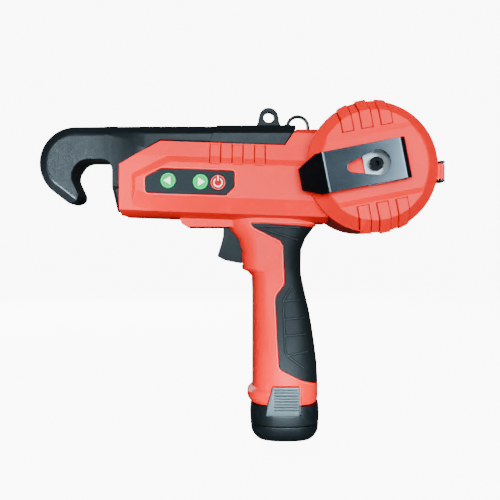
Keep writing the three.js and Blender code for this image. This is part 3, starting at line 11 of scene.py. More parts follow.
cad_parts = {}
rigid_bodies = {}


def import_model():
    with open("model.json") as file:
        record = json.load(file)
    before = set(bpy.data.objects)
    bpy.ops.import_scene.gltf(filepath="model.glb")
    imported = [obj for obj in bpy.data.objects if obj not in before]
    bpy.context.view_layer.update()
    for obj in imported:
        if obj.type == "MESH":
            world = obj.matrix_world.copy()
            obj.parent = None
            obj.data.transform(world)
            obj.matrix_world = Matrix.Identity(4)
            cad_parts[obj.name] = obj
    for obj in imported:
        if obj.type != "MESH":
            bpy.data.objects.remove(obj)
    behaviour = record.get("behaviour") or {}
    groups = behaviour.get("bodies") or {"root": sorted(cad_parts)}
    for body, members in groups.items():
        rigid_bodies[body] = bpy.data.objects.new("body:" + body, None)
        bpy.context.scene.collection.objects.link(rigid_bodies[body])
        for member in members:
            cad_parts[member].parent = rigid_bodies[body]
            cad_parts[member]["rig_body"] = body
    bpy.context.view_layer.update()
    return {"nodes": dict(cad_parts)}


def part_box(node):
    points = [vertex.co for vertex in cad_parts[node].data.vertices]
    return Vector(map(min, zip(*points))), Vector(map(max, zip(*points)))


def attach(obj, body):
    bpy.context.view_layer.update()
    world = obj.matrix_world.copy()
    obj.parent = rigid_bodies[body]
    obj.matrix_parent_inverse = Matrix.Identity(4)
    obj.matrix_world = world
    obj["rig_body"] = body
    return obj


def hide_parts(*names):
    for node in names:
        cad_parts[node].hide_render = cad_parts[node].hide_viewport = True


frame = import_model()
MM = 0.001
# Cuts treat points closer than this, in metres, as one
CUT_CLOSE = 1e-7


# Colours and nodes
def linear(hex_colour):
    """An sRGB hex colour as the linear values that a shader takes."""
    shares = [int(hex_colour[i : i + 2], 16) / 255 for i in (1, 3, 5)]
    return [s / 12.92 if s <= 0.04045 else ((s + 0.055) / 1.055) ** 2.4 for s in shares] + [1]


def add(material, kind, links=None, values=None, **settings):
    """A node with its settings, its own values and what is linked into it."""
    made = material.node_tree.nodes.new(kind)
    for name, setting in settings.items():
        setattr(made, name, setting)
    for socket, value in (values or {}).items():
        made.inputs[socket].default_value = value
    for socket, source in (links or {}).items():
        material.node_tree.links.new(source, made.inputs[socket])
    return made


def started(name, **values):
    """A material with one Principled shader, and the object's coordinates."""
    material = bpy.data.materials.new(name)
    material.use_nodes = True
    shader = material.node_tree.nodes["Principled BSDF"]
    for socket, value in values.items():
        shader.inputs[socket.replace("_", " ")].default_value = value
    return material, shader, add(material, "ShaderNodeTexCoord").outputs["Object"]


def plug(material, shader, **sources):
    """Links into the shader's own sockets."""
    for socket, source in sources.items():
        material.node_tree.links.new(source, shader.inputs[socket.replace("_", " ")])


# How wide the patches of a plastic's flow clouding and of its scuffs are, in millimetres
CLOUD_MM, SCUFF_MM = 38, 5.5
# The blue-white tint of the gloss on black plastics
COOL_HAZE = "#cfe9f7"


# Moulded plastics and rubber: faint flow clouding in the colour, small scuffs that are
# paler and duller, and an eroded grain that breaks the gloss up into a satin haze
def moulded(name, main, light, dark, roughness, grain_mm, depth_mm, specular=0.5, haze="#ffffff"):
    material, shader, place = started(
        name, IOR=1.5, Specular_IOR_Level=specular, Specular_Tint=linear(haze)
    )
    cloud = add(
        material, "ShaderNodeTexNoise", {"Vector": place}, {"Scale": 1 / (CLOUD_MM * MM), "Detail": 3}
    ).outputs["Fac"]
    scuff = add(
        material,
        "ShaderNodeTexNoise",
        {"Vector": place},
        {"Scale": 1 / (SCUFF_MM * MM), "Detail": 6, "Roughness": 0.62},
    ).outputs["Fac"]
    grain = add(
        material, "ShaderNodeTexNoise", {"Vector": place}, {"Scale": 1 / (grain_mm * MM), "Detail": 2}
    ).outputs["Fac"]
    cloud_share = add(
        material, "ShaderNodeMapRange", {"Value": cloud}, {"From Min": 0.3, "From Max": 0.7}
    ).outputs["Result"]
    scuff_share = add(
        material,
        "ShaderNodeMapRange",
        {"Value": scuff},
        {"From Min": 0.58, "From Max": 0.72, "To Max": 0.35},
    ).outputs["Result"]
    clouded = add(
        material, "ShaderNodeMix", {0: cloud_share}, {6: linear(main), 7: linear(dark)}, data_type="RGBA"
    ).outputs[2]
    worn = add(
        material, "ShaderNodeMix", {0: scuff_share, 6: clouded}, {7: linear(light)}, data_type="RGBA"
    ).outputs[2]
    polish = add(
        material,
        "ShaderNodeMapRange",
        {"Value": scuff},
        {"From Min": 0.3, "From Max": 0.7, "To Min": roughness - 0.03, "To Max": roughness + 0.04},
    ).outputs["Result"]
    relief = add(
        material, "ShaderNodeBump", {"Height": grain}, {"Distance": depth_mm * MM, "Strength": 0.7}
    ).outputs["Normal"]
    plug(material, shader, Base_Color=worn, Roughness=polish, Normal=relief)
    return material


# How wide the patches are that handling dulls on a metal, in millimetres
PATCH_MM = 14


# Drawn or brushed metal: fine lines along one way, and patches dulled by handling
def metal(name, main, dark, roughness, brush_mm, turn=0.0, stretch=60.0, streak=0.08):
    material, shader, place = started(name, Metallic=1.0)
    along = add(
        material,
        "ShaderNodeMapping",
        {"Vector": place},
        {"Rotation": (0, turn, 0), "Scale": (1 / stretch, 1, 1)},
    ).outputs["Vector"]
    lines = add(
        material,
        "ShaderNodeTexNoise",
        {"Vector": along},
        {"Scale": 1 / (brush_mm * MM), "Detail": 3, "Roughness": 0.6},
    ).outputs["Fac"]
    patch = add(
        material, "ShaderNodeTexNoise", {"Vector": place}, {"Scale": 1 / (PATCH_MM * MM), "Detail": 3}
    ).outputs["Fac"]
    share = add(
        material, "ShaderNodeMapRange", {"Value": patch}, {"From Min": 0.3, "From Max": 0.7}
    ).outputs["Result"]
    tone = add(
        material, "ShaderNodeMix", {0: share}, {6: linear(main), 7: linear(dark)}, data_type="RGBA"
    ).outputs[2]
    polish = add(
        material,
        "ShaderNodeMapRange",
        {"Value": lines},
        {"From Min": 0.3, "From Max": 0.7, "To Min": roughness - streak, "To Max": roughness + streak},
    ).outputs["Result"]
    relief = add(
        material, "ShaderNodeBump", {"Height": lines}, {"Distance": 0.25 * streak * MM, "Strength": 0.5}
    ).outputs["Normal"]
    plug(material, shader, Base_Color=tone, Roughness=polish, Normal=relief)
    return material


# Casing red: a strong orange-red that a frontal light hazes to coral
red_abs = moulded(
    "moulded red ABS",
    "#dd0e0e", "#e4382c", "#d50b0a",
    roughness=0.36, grain_mm=1.3, depth_mm=0.1, specular=0.2,
)
# Painted shade: the bottoms of the casing's narrow grooves and the walls of the slot behind each latch, a
# darker, browner red and dull
painted_shade_red_abs = moulded(
    "moulded red ABS, painted dark as shade in its grooves",
    "#8c0a08", "#a01a14", "#7c0806",
    roughness=0.6, grain_mm=1.3, depth_mm=0.05, specular=0.1,
)
# Lips beside the grip and round the panel: the casing's red, painted paler as a highlight along them, and
# glossier
painted_highlight_red = moulded(
    "red ABS lip, painted paler as a highlight",
    "#f0332c", "#f4564f", "#ea2a24",
    roughness=0.32, grain_mm=1.3, depth_mm=0.04, specular=0.7,
)
# Spine, nose, trigger and eyelet: blue-black, hazed to slate where it faces the light
black_nylon = moulded(
    "moulded black glass-filled nylon",
    "#0b1114", "#131b20", "#0a0f12",
    roughness=0.34, grain_mm=1.3, depth_mm=0.1, specular=0.35, haze=COOL_HAZE,
)
# Battery latches: a paler slate, worn by the thumb
latch_abs = moulded(
    "moulded slate ABS",
    "#33454e", "#4a5c65", "#2d3e46",
    roughness=0.32, grain_mm=1.0, depth_mm=0.05, haze=COOL_HAZE,
)
# Battery case, spool and switch: darker than the nose, with a finer grain
black_abs = moulded(
    "moulded black ABS",
    "#090f12", "#1b262b", "#070c0f",
    roughness=0.4, grain_mm=1.0, depth_mm=0.05, haze=COOL_HAZE,
)
# Button panel: even dark slate
panel_pc = moulded(
    "moulded dark polycarbonate panel",
    "#0e171b", "#1f2c32", "#0c1417",
    roughness=0.42, grain_mm=1.1, depth_mm=0.04, specular=0.25, haze=COOL_HAZE,
)
# Grip: dull and deep
rubber = moulded(
    "overmoulded black thermoplastic rubber",
    "#0c1214", "#151c20", "#0a0f11",
    roughness=0.5, grain_mm=0.8, depth_mm=0.08, specular=0.4, haze=COOL_HAZE,
)
# Crests of the grip's ridges: painted greyer than the grip as a highlight, with a soft shine
painted_highlight_rubber = moulded(
    "black rubber ridge, painted greyer as a highlight",
    "#20292d", "#2c373c", "#1b2327",
    roughness=0.4, grain_mm=0.8, depth_mm=0.04, haze=COOL_HAZE,
)
# Feet of those ridges: a painted shadow, nearly black, so each ridge stands out from the grip
shadow_rubber = moulded(
    "matt black rubber, painted shadow beside a ridge",
    "#020304", "#06090a", "#010202",
    roughness=0.7, grain_mm=0.8, depth_mm=0.04, specular=0.1,
)
# Running keys: an even green without any shine
green_silicone = moulded(
    "moulded green silicone key",
    "#00ac52", "#12b866", "#009c4a",
    roughness=0.5, grain_mm=1.2, depth_mm=0.02, specular=0.05,
)
# The ring printed on each of them: a step paler than the key
pale_green_ink = moulded(
    "printed pale green ring",
    "#14c878", "#40d494", "#10bc70",
    roughness=0.5, grain_mm=1.2, depth_mm=0.01, specular=0.05,
)
# Power key: a deep crimson, darker than the casing
red_silicone = moulded(
    "moulded red silicone key",
    "#a80414", "#b82430", "#9c0412",
    roughness=0.5, grain_mm=1.2, depth_mm=0.02, specular=0.05,
)
# The ring printed on it: rose
pale_red_ink = moulded(
    "printed pale red ring",
    "#e0606a", "#ea8088", "#d65660",
    roughness=0.5, grain_mm=1.2, depth_mm=0.01, specular=0.1,
)
# Signs on the keys: white with a trace of green
white_ink = moulded(
    "printed white sign",
    "#eafff2", "#ffffff", "#dff6e8",
    roughness=0.45, grain_mm=1.2, depth_mm=0.01, specular=0.3,
)
# Circuit boards, inside: green under a clear gloss
board = moulded(
    "solder-masked circuit board",
    "#14603a", "#2c7d52", "#105031",
    roughness=0.35, grain_mm=1.4, depth_mm=0.02,
)
# Cells in the battery: blue film, shrunk tight and glossy
cell_sleeve = moulded(
    "shrink-wrapped cell sleeve",
    "#2a66ad", "#5a8ac4", "#245a9b",
    roughness=0.3, grain_mm=2.4, depth_mm=0.02,
)
# Tying wire on its spool: leaf green
tie_wire = moulded(
    "plastic-coated tying wire",
    "#3c6b33", "#5b8a50", "#335e2b",
    roughness=0.4, grain_mm=1.0, depth_mm=0.03,
)

# The clip's brushing follows its lean
CLIP_LEAN = math.radians(11)
# Clip: dark spring steel that mirrors the light as a blue-grey sheen
clip_steel = metal(
    "brushed spring steel sheet",
    "#4c5c68", "#44545f",
    roughness=0.22, brush_mm=0.5, turn=CLIP_LEAN, streak=0.015,
)
# The clip's inner leaf: the same steel, painted much paler as the reflection it shows through the keyhole
painted_bright_leaf_steel = metal(
    "spring steel leaf, painted bright as a reflection",
    "#b9ccd8", "#a6bac7",
    roughness=0.42, brush_mm=0.5, turn=CLIP_LEAN, streak=0.015,
)
# Tube: dark polished steel, so its middle flashes and its sides go black
tube_steel = metal("drawn steel tube", "#566066", "#464f55", roughness=0.3, brush_mm=0.6, streak=0.03)
# Mechanism, motors, screws and pins: pale and evenly bright
zinc_steel = metal("zinc-plated steel", "#a9b2b8", "#8f989f", roughness=0.3, brush_mm=0.8)
# The clip's screw: a soft near-black
black_oxide = metal("black-oxide steel screw", "#1b2023", "#12161a", roughness=0.42, brush_mm=0.8)
# Battery contacts: warm yellow
brass = metal("stamped brass", "#c9a14a", "#b08838", roughness=0.3, brush_mm=0.6)

FINISHES = {
    "left_shell": red_abs,
    "right_shell": red_abs,
    "reel_cover": red_abs,
    "grip_overmould": rubber,
    "top_cover": black_nylon,
    "nose_left": black_nylon,
    "nose_right": black_nylon,
    "lanyard_eyelet": black_nylon,
    "tube_gland": rubber,
    "wire_guide_tube": tube_steel,
    "cover_hinge_bracket": black_nylon,
    "control_panel": panel_pc,
    "forward_button": green_silicone,
    "reverse_button": green_silicone,
    "power_button": red_silicone,
    "trigger": black_nylon,
    "belt_clip": clip_steel,
    "belt_clip_screw": black_oxide,
    "battery_base": black_abs,
    "battery_body": black_abs,
    "battery_latch_left": latch_abs,
    "battery_latch_right": latch_abs,
    "wire_winding": tie_wire,
    "wire_spool": black_abs,
    "spool_retainer": black_abs,
    "button_board": board,
    "main_board": board,
    "terminal_block": black_abs,
    "battery_contacts": brass,
    "battery_cell_1": cell_sleeve,
    "battery_cell_2": cell_sleeve,
    "battery_cell_3": cell_sleeve,
    "trigger_switch": black_abs,
    "switch_plunger": black_abs,
}
# How far each visible piece's mould rounds its edges, in millimetres; other nodes show their CAD mesh
EDGE_MM = {
    "left_shell": 0.4,
    "right_shell": 0.4,
    "nose_left": 1.3,
    "nose_right": 1.3,
    "top_cover": 0.4,
    "reel_cover": 0.4,
    "grip_overmould": 0.3,
    "lanyard_eyelet": 0.6,
    "trigger": 0.8,
    "belt_clip": 0.2,
    "belt_clip_screw": 0.3,
    "battery_base": 0.5,
    "battery_body": 0.5,
    "battery_latch_left": 0.3,
    "battery_latch_right": 0.3,
    "control_panel": 0.2,
    "forward_button": 0.4,
    "reverse_button": 0.4,
    "power_button": 0.4,
    "cover_hinge_bracket": 0.3,
    "tube_gland": 0.3,
}
# An edge is rounded where the edges that meet it are this many times as long as the rounding
ROOM = 2.2
# How many strips the hook's edges and the clip's bends take, and how far those bends are rounded
FINE_STRIPS, BEND_MM = 4, 1.2
# The battery's cells and stem are hidden in the handle, so only its outside is rounded: the stem's
# middle, half its length and width, the height where the battery's floor ends and the handle's foot
STEM_X, STEM_HALF_X, STEM_HALF_Y, FLOOR_TOP_Z, HANDLE_FOOT_Z = -2.2, 19.5, 19.2, 1.0, 26.8


# Points this close are one, first in the CAD mesh and then without its flat seams, edges this short
# go, and a seam is flat below this many degrees
SAME_MM, CLOSE_MM, SHORT_MM, SEAM_DEGREES = 0.002, 0.05, 0.01, 0.3


def merged(name):
    """A CAD node's surface as one merged bmesh, without its flat seams."""
    bm = bmesh.new()
    bm.from_mesh(frame["nodes"][name].data)
    bmesh.ops.remove_doubles(bm, verts=bm.verts, dist=SAME_MM * MM)
    bmesh.ops.dissolve_limit(bm, angle_limit=math.radians(SEAM_DEGREES), verts=bm.verts, edges=bm.edges)
    bmesh.ops.remove_doubles(bm, verts=bm.verts, dist=CLOSE_MM * MM)
    bmesh.ops.dissolve_degenerate(bm, dist=SHORT_MM * MM, edges=bm.edges)
    return bm


def outside_battery(edge):
    """Whether an edge of the battery is on its visible case."""
    middle = (edge.verts[0].co + edge.verts[1].co) / 2 / MM
    inner = abs(middle.x - STEM_X) < STEM_HALF_X and abs(middle.y) < STEM_HALF_Y
    return middle.z < HANDLE_FOOT_Z and not (inner and middle.z > FLOOR_TOP_Z)


def rounded(bm, width_mm, sharp_degrees=25, segments=2, wanted=None, curved=False):
    """Rounds the sharp edges that have room for it at both ends; a curved edge may be in short steps."""
    need = ROOM * width_mm * MM
    least = math.radians(sharp_degrees)
    roomy = {}
    for vert in bm.verts:
        near = [e for e in vert.link_edges if not (curved and e.calc_face_angle(0) > least)]
        roomy[vert] = min((e.calc_length() for e in near), default=need * 2) > need
    sharp = [
        e
        for e in bm.edges
        if len(e.link_faces) == 2
        and e.is_convex
        and e.calc_face_angle(0) > least
        and roomy[e.verts[0]]
        and roomy[e.verts[1]]
        and (wanted is None or wanted(e))
    ]
    bmesh.ops.bevel(
        bm,
        geom=sharp,
        offset=width_mm * MM,
        offset_type="OFFSET",
        affect="EDGES",
        segments=segments,
        profile=0.5,
        material=-1,
        clamp_overlap=False,
    )


def finished(bm, name, body, material, smooth_degrees=35, barrel_degrees=None):
    """A bmesh as a named piece that rides on a body, smooth except where its faces meet at more degrees."""
    mesh = bpy.data.meshes.new(name)
    bmesh.ops.recalc_face_normals(bm, faces=bm.faces)
    bm.normal_update()
    for face in bm.faces:
        face.smooth = True
    for edge in bm.edges:
        if len(edge.link_faces) == 2:
            least = barrel_degrees if barrel_degrees and on_barrel(edge) else smooth_degrees
            edge.smooth = edge.calc_face_angle(0) < math.radians(least)
    bm.to_mesh(mesh)
    bm.free()
    mesh.materials.append(material)
    piece = bpy.data.objects.new(name, mesh)
    bpy.context.scene.collection.objects.link(piece)
    weighted = piece.modifiers.new("flat faces stay flat", "WEIGHTED_NORMAL")
    weighted.keep_sharp = True
    weighted.weight = 50
    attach(piece, body)
    return piece


# Share of a groove's width that each of its sloping walls takes
WALL_SHARE = 0.2


def engraved(bm, lines, width_mm, depth_mm, wanted, painted_shade=False):
    """Grooves along lines in X and Z, sunk into wanted faces; painted_shade gives their floors the second
    material, a painted shade.
    """
    half = width_mm / 2 * MM
    strips = []
    for (x0, z0), (x1, z1) in lines:
        start, end = Vector((x0, 0, z0)) * MM, Vector((x1, 0, z1)) * MM
        along = (end - start).normalized()
        across = Vector((-along.z, 0, along.x))
        strips.append((start, end, along, across))
        low = Vector((min(start.x, end.x) - half * 2, 0, min(start.z, end.z) - half * 2))
        high = Vector((max(start.x, end.x) + half * 2, 0, max(start.z, end.z) + half * 2))
        for point, normal in (
            (start + across * half, across),
            (start - across * half, across),
            (start - along * half, along),
            (end + along * half, along),
        ):
            near = [
                f
                for f in bm.faces
                if wanted(f)
                and min(v.co.x for v in f.verts) < high.x
                and max(v.co.x for v in f.verts) > low.x
                and min(v.co.z for v in f.verts) < high.z
                and max(v.co.z for v in f.verts) > low.z
            ]
            edges = {e for f in near for e in f.edges}
            verts = {v for f in near for v in f.verts}
            bmesh.ops.bisect_plane(
                bm, geom=near + list(edges) + list(verts), dist=CUT_CLOSE, plane_co=point, plane_no=normal
            )

    def within(face):
        middle = face.calc_center_median()
        for start, end, along, across in strips:
            reach = (middle - start).dot(along)
            if -half < reach < (end - start).length + half and abs((middle - start).dot(across)) < half:
                return True
        return False

    floor = [f for f in bm.faces if wanted(f) and within(f)]
    bmesh.ops.inset_region(
        bm,
        faces=floor,
        use_boundary=True,
        use_even_offset=True,
        thickness=width_mm * WALL_SHARE * MM,
        depth=-depth_mm * MM,
    )
    # Painted shade: the floors of the grooves take the darker second material
    if painted_shade:
        for face in floor:
            face.material_index = 1


def traced(corners, closed, aside_mm=0.0, step_mm=1.4):
    """Points along an outline in X and Z, moved out to its right, with its corners eased."""
    spots = [Vector(c) for c in corners]
    count = len(spots)
    moved = []
    for i, spot in enumerate(spots):
        before = spots[i - 1] if closed or i else None
        after = spots[(i + 1) % count] if closed or i + 1 < count else None
        ways = [(b - a).normalized() for a, b in ((before, spot), (spot, after)) if a and b]
        sides = [Vector((way.y, -way.x)) for way in ways]
        out = sum(sides, Vector((0, 0)))
        moved.append(spot + out * aside_mm / (1 + (sides[0].dot(sides[-1]) if len(sides) > 1 else 0)))
    points = []
    for a, b in zip(moved, moved[1:] + (moved[:1] if closed else [])):
        runs = max(1, round((b - a).length / step_mm))
        points += [a.lerp(b, run / runs) for run in range(runs)]
    if not closed:
        points.append(moved[-1])
    for _ in range(2):
        before, after = points[-1:] + points[:-1], points[1:] + points[:1]
        eased = [(a + p * 2 + b) / 4 for a, p, b in zip(before, points, after)]
        if not closed:
            eased[0], eased[-1] = points[0], points[-1]
        points = eased
    return points


# Rays start this far to the side of the middle plane, in metres
RAY_START = 0.2
surfaces = {}


def laid(points, node, side):
    """Points in X and Z laid on a node's left or right surface, with the surface's direction there."""
    if node not in surfaces:
        bm = merged(node)
        surfaces[node] = BVHTree.FromBMesh(bm)
        bm.free()
    spots = []
    for point in points:
        hit, normal, _, _ = surfaces[node].ray_cast(
            Vector((point.x * MM, side * RAY_START, point.y * MM)), Vector((0, -side, 0))
        )
        if hit is not None:
            spots.append((hit, normal if normal.y * side > 0 else -normal))
    return spots


def bead(name, corners, radius_mm, node, body, material, side=-1, closed=False, aside_mm=0.0, sunk=0.3):
    """A raised half-round moulding that follows an outline over a node's surface."""
    spots = laid(traced(corners, closed, aside_mm), node, side)
    places = []
    for i, (spot, normal) in enumerate(spots):
        last = spots[(i + 1) % len(spots)] if closed or i + 1 < len(spots) else spots[i]
        first = spots[i - 1] if closed or i else spots[i]
        along = (last[0] - first[0]).normalized()
        across = along.cross(normal).normalized()
        up = across.cross(along)
        place = Matrix((across, up, along)).transposed().to_4x4()
        place.translation = spot - up * radius_mm * sunk * MM
        places.append(place)
    bm = bmesh.new()
    bmesh.ops.create_circle(bm, cap_ends=False, segments=10, radius=radius_mm * MM, matrix=places[0])
    ring = first_ring = list(bm.edges)
    for before, after in zip(places, places[1:]):
        made = bmesh.ops.extrude_edge_only(bm, edges=ring)["geom"]
        verts = {v for v in made if isinstance(v, bmesh.types.BMVert)}
        bmesh.ops.transform(bm, matrix=after @ before.inverted(), verts=list(verts))
        ring = [e for e in made if isinstance(e, bmesh.types.BMEdge) and set(e.verts) <= verts]
    if closed:
        bmesh.ops.bridge_loops(bm, edges=first_ring + ring)
    else:
        bmesh.ops.holes_fill(bm, edges=first_ring + ring)
    return finished(bm, name, body, material, smooth_degrees=70)


# How far a face's normal turns sideways on a side, and on a side that is flat
SIDEWAYS, FLAT_SIDEWAYS = 0.35, 0.9


def on_left(face):
    return face.normal.y < -SIDEWAYS


def on_right(face):
    return face.normal.y > SIDEWAYS


def on_side(face):
    return abs(face.normal.y) > SIDEWAYS


# The reel's centre and the turn of its cover, and a place on it, in millimetres
REEL_X, REEL_Z, COVER_TURN = 59.0, 193.8, math.radians(11)


def on_reel(across, up):
    c, s = math.cos(COVER_TURN), math.sin(COVER_TURN)
    return REEL_X + across * c - up * s, REEL_Z + across * s + up * c


# Shadow lines beside the pads of the cover, in millimetres from the reel's centre along its turn
COVER_PADS = [-13.3, 0.0, 13.3]
PAD_HALF, PAD_START, PAD_END, LINE_ASIDE = 3.6, 25.5, 46.5, 0.35
COVER_LINES = []
for middle in COVER_PADS:
    for up in (1, -1):
        left, right = middle - PAD_HALF - LINE_ASIDE, middle + PAD_HALF + LINE_ASIDE
        COVER_LINES += [
            (on_reel(left, up * PAD_START), on_reel(left, up * PAD_END)),
            (on_reel(right, up * PAD_START), on_reel(right, up * PAD_END)),
            (on_reel(left, up * PAD_START), on_reel(right, up * PAD_START)),
        ]
# The same beside the pads of the barrel: where each pad starts, its width, its foot and its top
BARREL_PADS = [-53.0, -37.4, -21.8]
BARREL_PAD_WIDTH, BARREL_PAD_FOOT, BARREL_PAD_TOP = 7.0, 197.3, 212.8
BARREL_LINES = [
    ((x, BARREL_PAD_FOOT), (x, BARREL_PAD_TOP))
    for first in BARREL_PADS
    for x in (first - LINE_ASIDE, first + BARREL_PAD_WIDTH + LINE_ASIDE)
]
# A groove runs below and above each rib of the latches, from X to X
RIB_HEIGHTS = [37.6, 33.5, 29.5, 25.5]
RIB_START, RIB_END, RIB_ASIDE = -8.2, 8.4, 1.2
LATCH_LINES = [
    ((RIB_START, height + aside), (RIB_END, height + aside))
    for height in RIB_HEIGHTS
    for aside in (-RIB_ASIDE, RIB_ASIDE)
]
GROOVE_WIDTH, GROOVE_DEPTH = 0.8, 0.9
LINES = {
    "reel_cover": (COVER_LINES, on_left),
    "left_shell": (BARREL_LINES, on_left),
    "right_shell": (BARREL_LINES, on_right),
    "battery_latch_left": (LATCH_LINES, on_left),
    "battery_latch_right": (LATCH_LINES, on_right),
}
# The second material of a piece: painted shade on its groove floors and latch slot walls, or a painted
# reflection on the clip's inner leaf
SECOND_FINISHES = {
    "reel_cover": painted_shade_red_abs,
    "left_shell": painted_shade_red_abs,
    "right_shell": painted_shade_red_abs,
    # On the latches the groove floors are painted black as shade
    "battery_latch_left": black_abs,
    "battery_latch_right": black_abs,
    "belt_clip": painted_bright_leaf_steel,
}

# The open slot behind each latch, from X to X and up to its top, in millimetres
SLOT_START, SLOT_END, SLOT_TOP = 9.2, 11.1, 40.9


def shade_slot(bm):
    """Gives the walls of the open slot behind each latch the second material, a painted shade."""
    for face in bm.faces:
        middle = face.calc_center_median() / MM
        inside = SLOT_START < middle.x < SLOT_END and middle.z < SLOT_TOP
        if inside and abs(face.normal.y) < FLAT_SIDEWAYS:
            face.material_index = 1


# The barrel starts at this height in millimetres; its sides are flat, while those of the handle are round
BARREL_FOOT = 158.8
# Faces of these pieces that meet at more degrees than this are crisp on the barrel
BARREL_DEGREES = {
    "left_shell": 9,
    "right_shell": 9,
    "nose_left": 22,
    "nose_right": 22,
    "top_cover": 9,
    "reel_cover": 9,
}


def on_barrel(edge):
    """Whether an edge is on the barrel, and not on the handle."""
    return min(v.co.z for v in edge.verts) > BARREL_FOOT * MM


# The nose widens towards the barrel along a curve instead of a crease, from X to X in millimetres.
# Half its width before the crease, how steeply it widens behind it, and the strips of its curve
FLARE_START, FLARE_CREASE, FLARE_END = -152.0, -130.0, -108.0
NOSE_HALF, FLARE_SLOPE, FLARE_STRIPS = 12.0, 0.277, 14


def flared(bm):
    """Cuts the nose across its crease and moves the cuts onto a smooth curve."""
    run = FLARE_END - FLARE_START
    for strip in range(FLARE_STRIPS + 1):
        x = (FLARE_START + run * strip / FLARE_STRIPS) * MM
        geometry = list(bm.verts) + list(bm.edges) + list(bm.faces)
        bmesh.ops.bisect_plane(bm, geom=geometry, dist=CUT_CLOSE, plane_co=(x, 0, 0), plane_no=(1, 0, 0))
    for vert in bm.verts:
        x = vert.co.x / MM
        if FLARE_START < x < FLARE_END:
            creased = NOSE_HALF + max(0, x - FLARE_CREASE) * FLARE_SLOPE
            curved = NOSE_HALF + FLARE_SLOPE * (x - FLARE_START) ** 2 / (2 * run)
            vert.co.y *= curved / creased


# The slanted seam between the nose and the top cover crosses this X; edges this near to it stay sharp
SEAM_X, SEAM_NEAR = -50.5, 4.0
# The nose is rounded all over in front of this X, and behind it only above this height
HOOK_BACK, SPINE_FOOT = -125.0, 210.8


def off_seam(edge):
    """Whether an edge is away from the slanted seam between the nose and the top cover."""
    middle = (edge.verts[0].co + edge.verts[1].co) / 2 / MM
    return abs(middle.x - SEAM_X) > SEAM_NEAR


def hook_edge(edge):
    """Whether an edge is on the hook's outside, clear of the seam and of the barrel's front."""
    middle = (edge.verts[0].co + edge.verts[1].co) / 2 / MM
    return middle.x < HOOK_BACK or (middle.z > SPINE_FOOT and off_seam(edge))


# The clip's bends are longer than this, in millimetres, and less sharp than the edges of its sheet
BEND_LENGTH, BEND_DEGREES = 18.0, 60.0


def bend_edge(edge):
    """Whether an edge is one of the clip's long bends, not the edge of its sheet."""
    return edge.calc_length() > BEND_LENGTH * MM and edge.calc_face_angle(0) < math.radians(BEND_DEGREES)


# The leaf lies this far behind the clip's face, right of this X, in millimetres
LEAF_DEPTH, LEAF_X = 5.0, 45.0


def mark_leaf(bm):
    """Gives the clip's inner leaf, seen through the keyhole, the second material, a painted reflection."""
    bm.normal_update()
    front = min(v.co.y for v in bm.verts)
    for face in bm.faces:
        middle = face.calc_center_median()
        behind = middle.y > front + LEAF_DEPTH * MM and middle.x > LEAF_X * MM
        if behind and face.normal.y < -FLAT_SIDEWAYS:
            face.material_index = 1


# The nose is set back below the hook's mouth, in front of the barrel: a narrow step in the strip
STEP_LINES = [((-120.9, 155.8), (-120.9, 178))]
STEP_WIDTH, STEP_DEPTH = 8.6, 1.2

# Which edges of a piece are rounded, where it isn't all of them; the noses have hook_edge
ROUNDED = {
    "battery_base": outside_battery,
    "battery_body": outside_battery,
    "top_cover": off_seam,
}

# Every CAD node gets its finish, and the visible ones a detailed piece in their place
for name, cad in frame["nodes"].items():
    material = FINISHES.get(name, zinc_steel)
    cad.data.materials.clear()
    cad.data.materials.append(material)
    if name in EDGE_MM:
        bm = merged(name)
        if name.startswith("nose_"):
            flared(bm)
            rounded(bm, EDGE_MM[name], segments=FINE_STRIPS, wanted=hook_edge, curved=True)
            bm.normal_update()
            engraved(bm, STEP_LINES, STEP_WIDTH, STEP_DEPTH, on_side)
        elif name == "belt_clip":
            rounded(bm, BEND_MM, segments=FINE_STRIPS, wanted=bend_edge)
            rounded(bm, EDGE_MM[name])
            mark_leaf(bm)
        else:
            rounded(bm, EDGE_MM[name], wanted=ROUNDED.get(name))
        if name in LINES:
            lines, wanted = LINES[name]
            bm.normal_update()
            # The floors of these grooves are painted dark as shade
            engraved(bm, lines, GROOVE_WIDTH, GROOVE_DEPTH, wanted, painted_shade=True)
        if name.endswith("_shell"):
            shade_slot(bm)
        piece = finished(
            bm, name + "_piece", cad["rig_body"], material, barrel_degrees=BARREL_DEGREES.get(name)
        )
        if name in SECOND_FINISHES:
            piece.data.materials.append(SECOND_FINISHES[name])
        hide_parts(name)

# Outline of the control panel, and the rubber's edge along the grip's top, front and foot, in X and Z
PANEL_CORNERS = [
    (-97.6, 177.5), (-96.6, 176.5), (-42.1, 174.7), (-36.3, 180.5),
    (-36.3, 190.2), (-37.3, 191.2), (-86.6, 193), (-97.6, 187.2),
]
GRIP_EDGE = [
    (20, 154.4), (-24.3, 155.7), (-23.1, 152.9), (-3.9, 143.3), (-1.4, 139.4),
    (-0.4, 113.2), (-0.7, 111.7), (-6, 105.2), (-7.1, 101.7), (-6.7, 93.9),
    (-6, 76.1), (-4.6, 54.1), (-4.2, 52.7), (10.4, 45.2), (20.6, 42),
]
# Ridges on the rubber: two along the web, and the ribbed field below it
GRIP_RIDGES = [
    [(-17.6, 153.4), (2, 152.7), (10, 152.4)],
    [(-17.2, 151.8), (8.6, 143.6)],
    [(4.6, 111), (-2.1, 100.4), (-1.2, 87.6), (-0.5, 65.1), (0.6, 62.4), (12.6, 53.6)],
    [(-1.4, 100.4), (9.8, 101.2)],
    [(-0.9, 87.8), (13.6, 88.7)],
    [(-0.5, 76), (13.6, 77)],
    [(1.5, 62.4), (15.5, 65)],
]
# Each ridge is two beads, the matt foot painted as shadow and the crest painted as highlight: radius, share
# of it sunk, finish
RIDGE_BEADS = [("shadow_flank", 1.3, 0.78, shadow_rubber), ("ridge", 0.6, 0.0, painted_highlight_rubber)]
# Radius of the rim and of the lips, and how far each lies outside its outline
RIM_RADIUS, RIM_ASIDE, LIP_RADIUS, LIP_ASIDE = 0.7, 1.15, 0.8, 1.1
